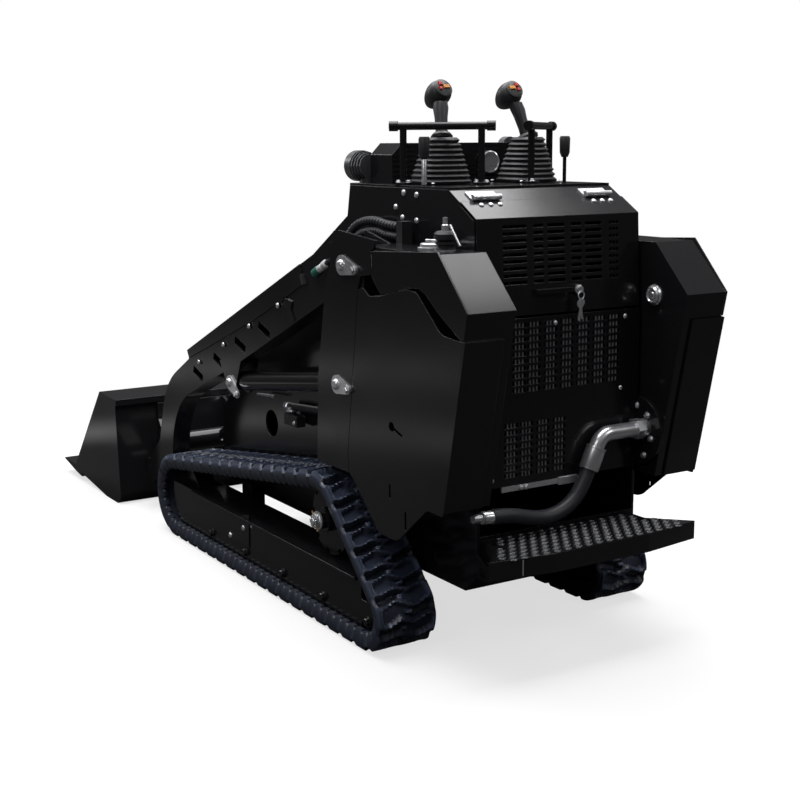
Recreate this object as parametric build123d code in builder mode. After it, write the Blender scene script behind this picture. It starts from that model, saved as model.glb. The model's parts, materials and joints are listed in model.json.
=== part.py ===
"""Stand-on compact track loader: bucket on lift arms, rubber tracks, rear platform.

Millimetres.  +X points forward to the bucket, +Y to the operator's left, +Z up.
The origin is on the ground, under the middle of the machine.
"""
from math import atan2, cos, degrees, hypot, radians, sin, tan
import os

from build123d import *

os.makedirs("parts", exist_ok=True)

# ---------------------------------------------------------------- running gear
TRACK_GAUGE = 724          # middle of one belt to the middle of the other
BELT_WIDTH = 180
BELT_CARCASS = 18          # rubber without its lugs
LUG_HEIGHT = 22
LUG_PITCH = 72
LUG_LENGTH = 38            # at the lug's foot, along the belt
LUG_DRAFT = 6              # taken off each end of the lug at its tip
LUG_ROOT = 4               # of the lug sunk in the carcass, where the belt bends
LUG_OVERLAP = 12           # the two rows of lugs pass each other by this much

FRONT_IDLER_X = 287
FRONT_IDLER_RADIUS = 98    # the belt's inside rides on it
SPROCKET_X = -697
SPROCKET_Z = 284
SPROCKET_RADIUS = 100
SPROCKET_TEETH = 9
SPROCKET_POCKET = 15
MOTOR_RADIUS = 66
HUB_RADIUS = 34
HUB_REACH = 22             # of the hub past the sprocket's face
HUB_NUT_RADIUS = 24
HUB_NUT_REACH = 16
REAR_IDLER_X = -958
REAR_IDLER_RADIUS = 52
IDLER_WIDTH = 62
ROLLER_RADIUS = 36
ROLLER_WIDTH = 84
ROLLER_PLACES = (-800, -585, -370, -155, 60)
AXLE_RADIUS = 16

FRAME_PLATE = 8            # track frame plate
FRAME_WIDTH = 122           # over both plates; it sits inside the belt
FRAME_REAR_X = -911
FRAME_FRONT_X = 335
FRAME_TOP_Z = 177
FRAME_FOOT_Z = 44
FRAME_CHAMFER = 62         # at the front idler, inside the belt's bend
FRAME_ROOM = 12            # from the frame's roof to the idlers
FORK_HALF = 30             # half the height of the fork that holds the rear idler
FRAME_TIE_PLACES = (-560, 20)
FRAME_TIE_SIZE = 70
FRAME_TIE_SINK = 30        # of the tie above the frame's roof, less half its height
FRAME_LIP = 10             # folded edge of the outer plate, over the roof

# --------------------------------------------------------------------- chassis
BODY_HALF_WIDTH = 255      # outside of the chassis walls and of the cowl
WALL = 8
SHEET = 5
BELLY_Z = 180
BELLY_CHAMFER = 50
CHASSIS_TOP_Z = 600        # the cowl stands on the chassis walls here
CHASSIS_REAR_X = -1195
REAR_SILL_Z = 330          # top of the chassis' rear wall
NOSE_X = 285
NOSE_TOP_Z = 420
NOSE_SHOULDER_X = 56
WALL_HOLE_X = -78
WALL_HOLE_Z = 426
WALL_HOLE_RADIUS = 42
TIE_DOWN_REAR_Z = 246
TIE_DOWN_FRONT_Z = 310     # above the belt, so that a hook's pin passes over it
TIE_DOWN_RADIUS = 12
LUG_REACH = 40             # of a tie-down lug past the chassis
ENGINE_X = -330
ENGINE_LENGTH = 480
ENGINE_WIDTH = 400
ENGINE_FOOT_Z = 250
ENGINE_HEIGHT = 450
ENGINE_MOUNT_SPREAD = 340
ENGINE_MOUNT_SIZE = 50

BONNET_BREAK = (-330, 953)  # the bonnet turns steeper here
BONNET_TOP = (-572, 1096)
DECK_Z = 1180
DECK_PLATE = 6
DECK_FRONT_X = -588
DECK_REAR_X = -1068
REAR_SHOULDER = (-1182, 1112)  # the rear slope ends here and the back begins
REAR_WAIST_Z = 875

# ----------------------------------------------------------------- lift towers
LIFT_PIVOT_X = -804
LIFT_PIVOT_Z = 985
CYLINDER_FOOT_X = -770
CYLINDER_FOOT_Z = 669
TOWER_INNER_Y = 300
TOWER_PLATE = 8
TOWER_FOOT_Z = 440
TOWER_FRONT_FOOT_X = -649
PIVOT_PIN_RADIUS = 24
CYLINDER_PIN_RADIUS = 17
PIN_PLAY = 0.5             # between a pin and the bore that turns on it
PIN_HEAD = 6
KEEPER = 6                 # flag that keeps a pin from turning
KEEPER_HALF = 12           # half the flag's width at its bolt

# ------------------------------------------------------------------- lift arms
ARM_OUTER_Y = 380
ARM_INNER_Y = 318
ARM_WALL = 8
ARM_KNEE = 255             # bend radius of the arm where it turns down
ARM_SLOTS = ((-290, 755), (-125, 692), (36, 621), (198, 556))
ARM_SLOT_LENGTH = 76
ARM_SLOT_WIDTH = 24
ARM_SLOT_TILT = 18
ARM_COVER = 4              # plate over the hose run along the arm
ARM_BOSS_RADIUS = 56
EAR_X = -52                # pin of the lift cylinder's rod
EAR_Z = 565
EAR_RADIUS = 38
EAR_ROOT = 74              # from the pin up into the arm
EAR_SPREAD = 42            # how much the ear widens towards the arm
EAR_PLATE = 8
COUPLER_PIN_X = 665
COUPLER_PIN_Z = 140
COUPLER_PIN_RADIUS = 20
COUPLER_BOSS_RADIUS = 44
UPPER_TUBE = (205, 605)
LOWER_TUBE = (485, 270)
CROSS_TUBE_RADIUS = 35

# ------------------------------------------------------------------- cylinders
LIFT_BARREL_RADIUS = 28
LIFT_ROD_RADIUS = 15
LIFT_GAP_AT_ROD_PIN = 56   # from the gland to the rod's pin when shut
EYE_RADIUS = 30
EYE_WIDTH = 40
TILT_FOOT = (280, 598)
TILT_LEVER = 155           # from the coupler's pivot to the tilt pin
TILT_LEVER_ANGLE = 84.5
TILT_EAR_RADIUS = 34
TILT_EAR_PLATE = 10
TILT_SIDE_PLAY = 12        # beside the tilt cylinder's eyes, more than its barrel needs
TILT_BARREL_RADIUS = 29
TILT_EYE_RADIUS = 26
TILT_ROD_RADIUS = 16
TILT_GAP_AT_ROD_PIN = 80   # of which the bucket's curl takes up to TILT_CLOSING
TILT_CLOSING = 45          # how much shorter the cylinder gets when the bucket curls back
TILT_PIN_RADIUS = 13
BARREL_WALL = 5
ROD_PLAY = 0.5
ROD_TAIL = 12              # from the barrel's inner end to the rod's, fully in

# ---------------------------------------------------------- coupler and bucket
COUPLER_HALF_WIDTH = 300
COUPLER_PLATE = 12
COUPLER_FOOT_Z = 45
COUPLER_TOP_Z = 360
COUPLER_EAR_PLATE = 16
COUPLER_EAR_TRIM = 60      # the side ears end this far below the coupler's top
TILT_EAR_FOOT = 30         # and the middle ears this far above its foot
BUCKET_HALF_WIDTH = 458
BUCKET_HEEL_X = 750
BUCKET_TOP_X = 775
BUCKET_TOP_Z = 386
BUCKET_BROW_X = 932        # front edge of the bucket's closed top
BUCKET_BROW_Z = 392
BUCKET_CHEEK_X = 1234      # lowest point of the side's slanted edge
BUCKET_CHEEK_Z = 65
BUCKET_FLOOR_BREAK_X = 900
BUCKET_LIP_X = 1373
BUCKET_LIP_Z = 57
BUCKET_SHEET = 8
BUCKET_LIP_LIFT = 25       # of the cheek's corner above the floor's underside
BUCKET_HEEL_BEND = 40
BUCKET_RAIL_GAP = 4        # from the coupler's top up to the rail along the bucket's back
BUCKET_RAIL_PLATE = 10
CUTTING_EDGE = 14
EDGE_LAP = 60              # of the cutting edge over the bucket's floor
EDGE_TIP = 4
EDGE_TOOTH = 15            # of the edge above the floor, where it leaves the bucket

# ----------------------------------------------------------- side pods, guards
POD_INNER_Y = 266
POD_OUTER_Y = 398
POD_TOP_Z = 1040
POD_FOOT_Z = 430
POD_CHIN = (-1241, 1040)   # the top turns down here
POD_BACK = (-1362, 915)
POD_HEEL_X = -1261
POD_FRONT_TOP_X = -880
POD_FRONT_FOOT_X = -832
GUARD = 6                  # outer plates of the towers and the pods
PLATE_SEAM = 2             # between those plates, which lie edge to edge
GUARD_FLANGE = 110         # the guard's rear flange, measured across the machine
GUARD_FLANGE_TOP_Z = 850
KEYHOLE = (-1036, 601)
KEYHOLE_RADIUS = 12
KEYHOLE_TAIL = 52
KEYHOLE_TILT = 18
GUARD_SLOT_WIDTH = 8

# ------------------------------------------------------------- rear of machine
PANEL_GAP = 6              # from the rear panel up to the hatch
GRILLE_ROWS = 9
GRILLE_TOP_Z = 1092
GRILLE_PITCH = 17
GRILLE_SLOT = 8
GRILLE_COLUMNS = (         # middle and width of each column of slots
    (171, 13), (134, 53), (70, 29), (15, 53), (-49, 32), (-104, 52), (-160, 7), (-171, 7), (-182, 7),
)
VENT_PITCH = 18
VENT_SLOT = 11
VENT_BLOCKS = (            # top row, rows, columns, widths of the panel's two vents
    (852, 10, (134, 89, 37, -15, -67, -119, -167), 40),
    (603, 8, (157, 110, 58, 6), 40),
)
LATCH_Z = 931
LATCH_Y = 29               # middle of the handle
LATCH_LENGTH = 116
LATCH_BAR = 12
LATCH_REACH = 12
LOCK_Y = -42
LOCK_RADIUS = 13
REAR_PANEL_FOOT_Z = 450
HATCH_HEAD_RUN = 52         # of fixed cowl down the rear slope, before the hatch
HATCH_GAP = 6              # round the rear hatch
HATCH_DEPTH = 24           # of the folded edges inside the hatch
HATCH_SHEET = 3
HINGE_RADIUS = 7
HINGE_LENGTH = 84
HINGE_LEAF = 34            # of the leaf up the slope
HINGE_LEAF_PLATE = 4
HINGE_Y = 176
RAIL_ENDS = (-53, 187)     # plated rail across the back, under the panel
RAIL_HEIGHT = 13
RAIL_DEPTH = 8
PLATFORM_TOP_Z = 320
PLATFORM_LIP = 48
PLATFORM_SHEET = 6
PLATFORM_REAR_X = -1373
PLATFORM_RAKE = 25
PLATFORM_STRAIGHT = 300    # straight part of the rear edge
PLATFORM_HALF_WIDTH = 330
PLATFORM_FRONT_X = -1255
PLATFORM_NECK = 480
FLANGE_X = -1200           # round cover on the right pod
FLANGE_Z = 545
FLANGE_RADIUS = 90
FLANGE_PLATE = 11

OIL_PIPE_RADIUS = 20       # bent steel pipe off the right pod's cover
OIL_PIPE_X = -1230
OIL_PIPE_Z = 556
OIL_BEND_Y = -108
OIL_BEND_RADIUS = 46
OIL_LEAN = 25              # of the pipe's lower end, off the vertical
FERRULE_LENGTH = 60
FERRULE_RADIUS = 25
REAR_HOSE_RADIUS = 20
REAR_HOSE_LAST = 56        # last run of its route
REAR_HOSE_FITTING = ((16, 30), (10, 58))  # radius, length from the hose's end
POD_HOSE_RADIUS = 12
POD_HOSE_SHIFT = 5
HOSE_SIDES = 10            # a plain tube: the smooth one is only a finish
HOSE_BLOCK = 28            # steel blocks that the pod's hoses screw into
CAP_PLACE = (-1092, 312)   # filler cap on the left pod
CAP_RADIUS = 29
CAP_HEIGHT = 22
BREATHER_PLACE = (-1150, 320)
BREATHER_RADIUS = 26
BREATHER_HEIGHT = 34

# -------------------------------------------------------------------- controls
STICK_X = -860
STICK_Y = 140
BOOT_FOOT = 150
BOOT_TOP = 66
BOOT_HEIGHT = 124
BOOT_RIDGES = 8
BOOT_GROOVE = 7            # how deep the bellows' grooves are
STEM_RADIUS = 16
STEM_FOOT = (-877, 1300)
STEM_TOP = (-846, 1404)
GRIP_REAR = (-890, 1412)   # the oval head, between two rounds
GRIP_FRONT = (-812, 1422)
GRIP_RADIUS = 27
GRIP_WIDTH = 52
BAR_Z = 1335
BAR_RADIUS = 10
BAR_CAP_RADIUS = 13
BAR_CAP_LENGTH = 22
BAR_POSTS = ((-835, 238), (-960, 80))
BAR_OVERHANG = 36
POST_RADIUS = 9
POST_FLANGE = 22
POST_FLANGE_HEIGHT = 6
CONSOLE_REAR_X = -755
CONSOLE_FRONT_X = -645
CONSOLE_HEIGHT = 106
CONSOLE_HALF_WIDTH = 222
CONSOLE_CHAMFER = 30
GAUGE_Y = -85
GAUGE_Z = 1240
GAUGE_RADIUS = 33
GAUGE_DEPTH = 12
LEVER_PLACES = ((-918, 228), (-919, -225))
LEVER_ROD = 5
LEVER_GRIP = 10
LEVER_GRIP_LENGTH = 50
LEVER_HEIGHT = 118
LAMP_X = -615              # two round lamps ahead of the console
LAMPS = ((151, 1268, 22), (-248, 1283, 25))
LAMP_DEPTH = 27
SPOT_PLACE = (-598, 220, 1231)  # finned work lamp on the left front corner
SPOT_RADIUS = 42
SPOT_DEPTH = 30
SPOT_FINS = 4
SPOT_FIN = 4
SPOT_FIN_PITCH = 10

# --------------------------------------------------------------- worked out
BELT_SEAT = BELT_CARCASS + LUG_HEIGHT
BELT_CENTRE_Y = TRACK_GAUGE / 2
BELT_INNER_Y = BELT_CENTRE_Y - BELT_WIDTH / 2
BELT_OUTER_Y = BELT_CENTRE_Y + BELT_WIDTH / 2
FRONT_IDLER_Z = FRONT_IDLER_RADIUS + BELT_SEAT
REAR_IDLER_Z = REAR_IDLER_RADIUS + BELT_SEAT
ROLLER_Z = ROLLER_RADIUS + BELT_SEAT
FRAME_OUTER_Y = BELT_CENTRE_Y + FRAME_WIDTH / 2
FRAME_INNER_Y = BELT_CENTRE_Y - FRAME_WIDTH / 2
BELT_WHEELS = (            # x, z, radius of what the belt runs round
    (FRONT_IDLER_X, FRONT_IDLER_Z, FRONT_IDLER_RADIUS),
    (SPROCKET_X, SPROCKET_Z, SPROCKET_RADIUS),
    (REAR_IDLER_X, REAR_IDLER_Z, REAR_IDLER_RADIUS),
)
NOSE_SHOULDER = (NOSE_SHOULDER_X, CHASSIS_TOP_Z)
TOWER_OUTER_Y = POD_OUTER_Y + GUARD
ARM_CENTRE_Y = (ARM_OUTER_Y + ARM_INNER_Y) / 2
LIFT_DROP = degrees(atan2(EAR_Z - CYLINDER_FOOT_Z, EAR_X - CYLINDER_FOOT_X))
LIFT_SHUT = hypot(EAR_X - CYLINDER_FOOT_X, EAR_Z - CYLINDER_FOOT_Z)


def turned(x, z, radius, angle):
    """The point at an angle, in degrees, on a circle in the XZ plane."""
    return (x + radius * cos(radians(angle)), z + radius * sin(radians(angle)))


def side_plane(y):
    """The XZ plane at a given y: a sketch on it extrudes towards -Y."""
    return Plane.XZ.offset(-y)


# The rear slope runs down from the deck; the hatch hangs from a seam part way down it.
rear_slope = degrees(atan2(DECK_Z - REAR_SHOULDER[1], DECK_REAR_X - REAR_SHOULDER[0]))
rear_fall = degrees(atan2(REAR_SHOULDER[1] - REAR_WAIST_Z, REAR_SHOULDER[0] - CHASSIS_REAR_X))
fold_half = (rear_slope + 180 - rear_fall) / 2
HATCH_SEAM = turned(DECK_REAR_X, DECK_Z, HATCH_HEAD_RUN, 180 + rear_slope)
HINGE_AXIS = turned(*HATCH_SEAM, HATCH_SHEET + HINGE_RADIUS, 90 + rear_slope)


def hatch_line(depth):
    """The hatch's head, fold and foot at a depth inside the cowl's rear edges."""
    head = turned(*HATCH_SEAM, HATCH_GAP, 180 + rear_slope)
    fold_reach = depth / sin(radians(fold_half))
    return (
        turned(*head, depth, rear_slope - 90),
        turned(*REAR_SHOULDER, fold_reach, rear_slope - fold_half),
        (CHASSIS_REAR_X + depth, REAR_WAIST_Z),
    )


TILT_PIN = turned(COUPLER_PIN_X, COUPLER_PIN_Z, TILT_LEVER, TILT_LEVER_ANGLE)
TILT_DROP = degrees(atan2(TILT_PIN[1] - TILT_FOOT[1], TILT_PIN[0] - TILT_FOOT[0]))
TILT_SHUT = hypot(TILT_PIN[0] - TILT_FOOT[0], TILT_PIN[1] - TILT_FOOT[1])
left_side = {}             # pieces that the machine has on both sides
on_centre = {}             # pieces that it has once


# ============================================================== running gear
def belt_loop(spread, mode=Mode.ADD):
    """The belt's loop as the hull of its wheels, spread outwards."""
    rounds = [
        Edge.make_circle(radius + spread, Plane(origin=(x, z, 0)))
        for x, z, radius in BELT_WHEELS
    ]
    make_hull(rounds, mode=mode)


with BuildSketch(side_plane(0)) as belt_foot:
    belt_loop(BELT_CARCASS)
belt_wire = belt_foot.sketch.faces()[0].outer_wire()
LUG_COUNT = round(belt_wire.length / LUG_PITCH)


def lug_row(shift):
    """One row of lugs in the sketch in hand, each rooted a little in the belt."""
    for number in range(LUG_COUNT):
        place = ((number + shift) / LUG_COUNT) % 1
        spot = belt_wire.position_at(place)
        along = belt_wire.tangent_at(place)
        with Locations(Location((spot.X, spot.Z, 0), (0, 0, degrees(atan2(along.Z, along.X))))):
            Polygon(
                (-LUG_LENGTH / 2, -LUG_ROOT),
                (LUG_LENGTH / 2, -LUG_ROOT),
                (LUG_LENGTH / 2, 0),
                (LUG_LENGTH / 2 - LUG_DRAFT, LUG_HEIGHT),
                (LUG_DRAFT - LUG_LENGTH / 2, LUG_HEIGHT),
                (-LUG_LENGTH / 2, 0),
                align=None,
            )


row_width = (BELT_WIDTH + LUG_OVERLAP) / 2
with BuildPart() as track:
    for row_outer_y, shift in ((BELT_OUTER_Y, 0.0), (BELT_INNER_Y + row_width, 0.5)):
        with BuildSketch(side_plane(row_outer_y)):
            belt_loop(BELT_CARCASS)
            lug_row(shift)
            belt_loop(0, mode=Mode.SUBTRACT)
        extrude(amount=row_width)
left_side["track"] = track

# The sprocket drives the belt by its pockets; its motor sits inside the loop.
with BuildPart() as sprocket:
    with BuildSketch(side_plane(BELT_CENTRE_Y + IDLER_WIDTH / 2)):
        with Locations((SPROCKET_X, SPROCKET_Z)):
            Circle(SPROCKET_RADIUS)
            with PolarLocations(SPROCKET_RADIUS, SPROCKET_TEETH):
                RegularPolygon(SPROCKET_POCKET, 4, rotation=45, mode=Mode.SUBTRACT)
    extrude(amount=IDLER_WIDTH)
    with BuildSketch(side_plane(BELT_CENTRE_Y + IDLER_WIDTH / 2 + HUB_REACH)):
        with Locations((SPROCKET_X, SPROCKET_Z)):
            Circle(HUB_RADIUS)
    extrude(amount=HUB_REACH)
    with BuildSketch(side_plane(BELT_CENTRE_Y + IDLER_WIDTH / 2 + HUB_REACH)):
        with Locations((SPROCKET_X, SPROCKET_Z)):
            RegularPolygon(HUB_NUT_RADIUS, 6)
    extrude(amount=-HUB_NUT_REACH)
    with BuildSketch(side_plane(BELT_CENTRE_Y - IDLER_WIDTH / 2)):
        with Locations((SPROCKET_X, SPROCKET_Z)):
            Circle(MOTOR_RADIUS)
    extrude(amount=BELT_CENTRE_Y - IDLER_WIDTH / 2 - BODY_HALF_WIDTH)
left_side["sprocket"] = sprocket

# Idlers and rollers sit on square-shouldered axles that end in the track frame's plates.
with BuildPart() as idlers:
    for x, z, radius in (
        (FRONT_IDLER_X, FRONT_IDLER_Z, FRONT_IDLER_RADIUS),
        (REAR_IDLER_X, REAR_IDLER_Z, REAR_IDLER_RADIUS),
    ):
        with BuildSketch(side_plane(BELT_CENTRE_Y + IDLER_WIDTH / 2)):
            with Locations((x, z)):
                Circle(radius)
        extrude(amount=IDLER_WIDTH)
        with BuildSketch(side_plane(FRAME_OUTER_Y - FRAME_PLATE)):
            with Locations((x, z)):
                RegularPolygon(AXLE_RADIUS, 6)
        extrude(amount=FRAME_WIDTH - 2 * FRAME_PLATE)
left_side["idlers"] = idlers

with BuildPart() as rollers:
    with BuildSketch(side_plane(BELT_CENTRE_Y + ROLLER_WIDTH / 2)):
        with Locations(*[(x, ROLLER_Z) for x in ROLLER_PLACES]):
            Circle(ROLLER_RADIUS)
    extrude(amount=ROLLER_WIDTH)
    with BuildSketch(side_plane(FRAME_OUTER_Y - FRAME_PLATE)):
        with Locations(*[(x, ROLLER_Z) for x in ROLLER_PLACES]):
            RegularPolygon(AXLE_RADIUS, 6)
    extrude(amount=FRAME_WIDTH - 2 * FRAME_PLATE)
left_side["rollers"] = rollers

# Two side plates with a roof between them; a fork reaches back to the rear idler.
with BuildPart() as track_frame:
    for top_y in (FRAME_OUTER_Y, FRAME_INNER_Y + FRAME_PLATE):
        with BuildSketch(side_plane(top_y)):
            Polygon(
                (FRAME_REAR_X, FRAME_FOOT_Z),
                (FRAME_FRONT_X - FRAME_CHAMFER, FRAME_FOOT_Z),
                (FRAME_FRONT_X, FRAME_FOOT_Z + FRAME_CHAMFER),
                (FRAME_FRONT_X, FRAME_TOP_Z),
                (FRAME_REAR_X, FRAME_TOP_Z),
                align=None,
            )
            with Locations(((FRAME_REAR_X + REAR_IDLER_X) / 2, REAR_IDLER_Z)):
                Rectangle(FRAME_REAR_X - REAR_IDLER_X, 2 * FORK_HALF)
            with Locations((REAR_IDLER_X, REAR_IDLER_Z)):
                Circle(FORK_HALF)
        extrude(amount=FRAME_PLATE)
    roof_rear_x = REAR_IDLER_X + REAR_IDLER_RADIUS + FRAME_ROOM
    roof_front_x = FRONT_IDLER_X - FRONT_IDLER_RADIUS - FRAME_ROOM
    with BuildSketch(Plane.XY.offset(FRAME_TOP_Z)):
        with Locations(((roof_rear_x + roof_front_x) / 2, (FRAME_OUTER_Y + FRAME_INNER_Y) / 2)):
            Rectangle(roof_front_x - roof_rear_x, FRAME_WIDTH)
    extrude(amount=-FRAME_PLATE)
    with BuildSketch(side_plane(FRAME_INNER_Y)):
        with Locations(
            *[(x, FRAME_TOP_Z + FRAME_TIE_SIZE / 2 - FRAME_TIE_SINK) for x in FRAME_TIE_PLACES]
        ):
            Rectangle(FRAME_TIE_SIZE, FRAME_TIE_SIZE)
    extrude(amount=FRAME_INNER_Y - BODY_HALF_WIDTH)
    with BuildSketch(side_plane(FRAME_OUTER_Y + FRAME_LIP)):
        with Locations(((roof_rear_x + roof_front_x) / 2, FRAME_TOP_Z - FRAME_PLATE / 2)):
            Rectangle(roof_front_x - roof_rear_x, FRAME_PLATE)
    extrude(amount=FRAME_LIP)
left_side["track_frame"] = track_frame

# =================================================================== chassis
with BuildPart() as chassis_frame:
    with BuildSketch(side_plane(BODY_HALF_WIDTH)):
        Polygon(
            (CHASSIS_REAR_X, CHASSIS_TOP_Z),
            (CHASSIS_REAR_X, BELLY_Z + BELLY_CHAMFER),
            (CHASSIS_REAR_X + BELLY_CHAMFER, BELLY_Z),
            (NOSE_X - BELLY_CHAMFER, BELLY_Z),
            (NOSE_X, BELLY_Z + BELLY_CHAMFER),
            (NOSE_X, NOSE_TOP_Z),
            NOSE_SHOULDER,
            align=None,
        )
    extrude(amount=2 * BODY_HALF_WIDTH)
    offset(amount=-WALL, openings=chassis_frame.faces().sort_by(Axis.Z)[-1])
    with BuildSketch(Plane.YZ.offset(CHASSIS_REAR_X)):
        with Locations((0, (REAR_SILL_Z + CHASSIS_TOP_Z) / 2)):
            Rectangle(2 * (BODY_HALF_WIDTH - WALL), CHASSIS_TOP_Z - REAR_SILL_Z)
    extrude(amount=WALL, mode=Mode.SUBTRACT)
    with BuildSketch(side_plane(BODY_HALF_WIDTH)):
        with Locations((WALL_HOLE_X, WALL_HOLE_Z)):
            Circle(WALL_HOLE_RADIUS)
    extrude(amount=2 * BODY_HALF_WIDTH, mode=Mode.SUBTRACT)
    # Tie-down lugs carry the walls' plates on past both ends.
    for top_y in (BODY_HALF_WIDTH, WALL - BODY_HALF_WIDTH):
        for end_x, eye_z, reach in (
            (CHASSIS_REAR_X, TIE_DOWN_REAR_Z, -LUG_REACH),
            (NOSE_X, TIE_DOWN_FRONT_Z, LUG_REACH),
        ):
            with BuildSketch(side_plane(top_y)):
                Polygon(
                    (end_x, eye_z + LUG_REACH),
                    (end_x + reach, eye_z + LUG_REACH / 2),
                    (end_x + reach, eye_z - LUG_REACH / 2),
                    (end_x - reach, eye_z - LUG_REACH / 2),
                    (end_x - reach, eye_z + LUG_REACH),
                    align=None,
                )
                with Locations((end_x + reach / 2, eye_z)):
                    Circle(TIE_DOWN_RADIUS, mode=Mode.SUBTRACT)
            extrude(amount=WALL)
on_centre["chassis_frame"] = chassis_frame

with BuildPart() as engine_block:
    with BuildSketch(Plane.XY.offset(ENGINE_FOOT_Z)):
        with Locations((ENGINE_X, 0)):
            Rectangle(ENGINE_LENGTH, ENGINE_WIDTH)
    extrude(amount=ENGINE_HEIGHT)
    with BuildSketch(Plane.XY.offset(ENGINE_FOOT_Z)):
        with Locations((ENGINE_X, 0)):
            with GridLocations(ENGINE_MOUNT_SPREAD, ENGINE_MOUNT_SPREAD, 2, 2):
                Rectangle(ENGINE_MOUNT_SIZE, ENGINE_MOUNT_SIZE)
    extrude(amount=BELLY_Z + WALL - ENGINE_FOOT_Z)
on_centre["engine_block"] = engine_block

# Cheeks, bonnet and top in one folded shell, open below and behind.
with BuildPart() as cowl:
    with BuildSketch(side_plane(BODY_HALF_WIDTH)):
        Polygon(
            (CHASSIS_REAR_X, CHASSIS_TOP_Z),
            NOSE_SHOULDER,
            BONNET_BREAK,
            BONNET_TOP,
            (DECK_FRONT_X, DECK_Z),
            (DECK_REAR_X, DECK_Z),
            REAR_SHOULDER,
            (CHASSIS_REAR_X, REAR_WAIST_Z),
            align=None,
        )
    extrude(amount=2 * BODY_HALF_WIDTH)
    open_faces = cowl.faces().sort_by(Axis.Z)[:1] + cowl.faces().sort_by(Axis.X)[:2]
    offset(amount=-SHEET, openings=open_faces)
    with BuildSketch(side_plane(BODY_HALF_WIDTH)):
        Polygon(*hatch_line(-SHEET), *reversed(hatch_line(HATCH_GAP)), align=None)
    extrude(amount=2 * BODY_HALF_WIDTH, mode=Mode.SUBTRACT)
    with BuildSketch(side_plane(BODY_HALF_WIDTH - SHEET)):
        Polygon(*hatch_line(-SHEET), *reversed(hatch_line(HATCH_DEPTH + HATCH_GAP)), align=None)
    extrude(amount=2 * (BODY_HALF_WIDTH - SHEET), mode=Mode.SUBTRACT)
on_centre["cowl"] = cowl

with BuildPart() as control_deck:
    with BuildSketch(Plane.XY.offset(DECK_Z)):
        with Locations(((DECK_FRONT_X + DECK_REAR_X) / 2, 0)):
            Rectangle(DECK_FRONT_X - DECK_REAR_X, 2 * BODY_HALF_WIDTH)
    extrude(amount=DECK_PLATE)
on_centre["control_deck"] = control_deck
DECK_TOP_Z = DECK_Z + DECK_PLATE

# The rear hatch is a folded pan as wide as the cowl, its edges turned in between the cheeks.
edge_outer_y = BODY_HALF_WIDTH - SHEET - HATCH_GAP
with BuildPart() as rear_hatch:
    with BuildSketch(side_plane(BODY_HALF_WIDTH)):
        Polygon(*hatch_line(-HATCH_SHEET), *reversed(hatch_line(0)), align=None)
    extrude(amount=2 * BODY_HALF_WIDTH)
    for outer_y in (edge_outer_y, HATCH_SHEET - edge_outer_y):
        with BuildSketch(side_plane(outer_y)):
            Polygon(*hatch_line(0), *reversed(hatch_line(HATCH_DEPTH)), align=None)
        extrude(amount=HATCH_SHEET)
    with BuildSketch(side_plane(edge_outer_y)):
        Polygon(
            (CHASSIS_REAR_X, REAR_WAIST_Z),
            (CHASSIS_REAR_X + HATCH_DEPTH, REAR_WAIST_Z),
            (CHASSIS_REAR_X + HATCH_DEPTH, REAR_WAIST_Z + HATCH_SHEET),
            (CHASSIS_REAR_X, REAR_WAIST_Z + HATCH_SHEET),
            align=None,
        )
    extrude(amount=2 * edge_outer_y)
    # Rows of slots let the engine's heat out through the hatch's back.
    with BuildSketch(Plane.YZ.offset(CHASSIS_REAR_X - HATCH_SHEET)):
        for row in range(GRILLE_ROWS):
            for middle_y, width in GRILLE_COLUMNS:
                with Locations((middle_y, GRILLE_TOP_Z - row * GRILLE_PITCH)):
                    Rectangle(width, GRILLE_SLOT)
    extrude(amount=REAR_SHOULDER[0] - CHASSIS_REAR_X + 3 * HATCH_SHEET, mode=Mode.SUBTRACT)
on_centre["rear_hatch"] = rear_hatch

latch_x = CHASSIS_REAR_X - HATCH_SHEET + (LATCH_Z - LOCK_RADIUS - REAR_WAIST_Z) * (
    (REAR_SHOULDER[0] - CHASSIS_REAR_X) / (REAR_SHOULDER[1] - REAR_WAIST_Z)
)
with BuildPart() as hatch_latch:
    with BuildSketch(Plane.YZ.offset(latch_x)):
        with Locations((LATCH_Y, LATCH_Z)):
            Rectangle(LATCH_LENGTH, LATCH_BAR)
        with Locations((LOCK_Y, LATCH_Z)):
            Circle(LOCK_RADIUS)
    extrude(amount=-LATCH_REACH)
on_centre["hatch_latch"] = hatch_latch

rear_panel_top_z = REAR_WAIST_Z - PANEL_GAP
with BuildPart() as rear_panel:
    with BuildSketch(Plane.YZ.offset(CHASSIS_REAR_X)):
        with Locations((0, (rear_panel_top_z + REAR_PANEL_FOOT_Z) / 2)):
            Rectangle(2 * BODY_HALF_WIDTH, rear_panel_top_z - REAR_PANEL_FOOT_Z)
        for top_z, rows, columns, width in VENT_BLOCKS:
            for row in range(rows):
                with Locations(*[(y, top_z - row * VENT_PITCH) for y in columns]):
                    Rectangle(width, VENT_SLOT, mode=Mode.SUBTRACT)
    extrude(amount=-SHEET)
on_centre["rear_panel"] = rear_panel

with BuildPart() as rear_rail:
    with BuildSketch(Plane.YZ.offset(CHASSIS_REAR_X)):
        with Locations((sum(RAIL_ENDS) / 2, REAR_PANEL_FOOT_Z - RAIL_HEIGHT / 2)):
            Rectangle(RAIL_ENDS[1] - RAIL_ENDS[0], RAIL_HEIGHT)
    extrude(amount=-RAIL_DEPTH)
on_centre["rear_rail"] = rear_rail

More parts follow.
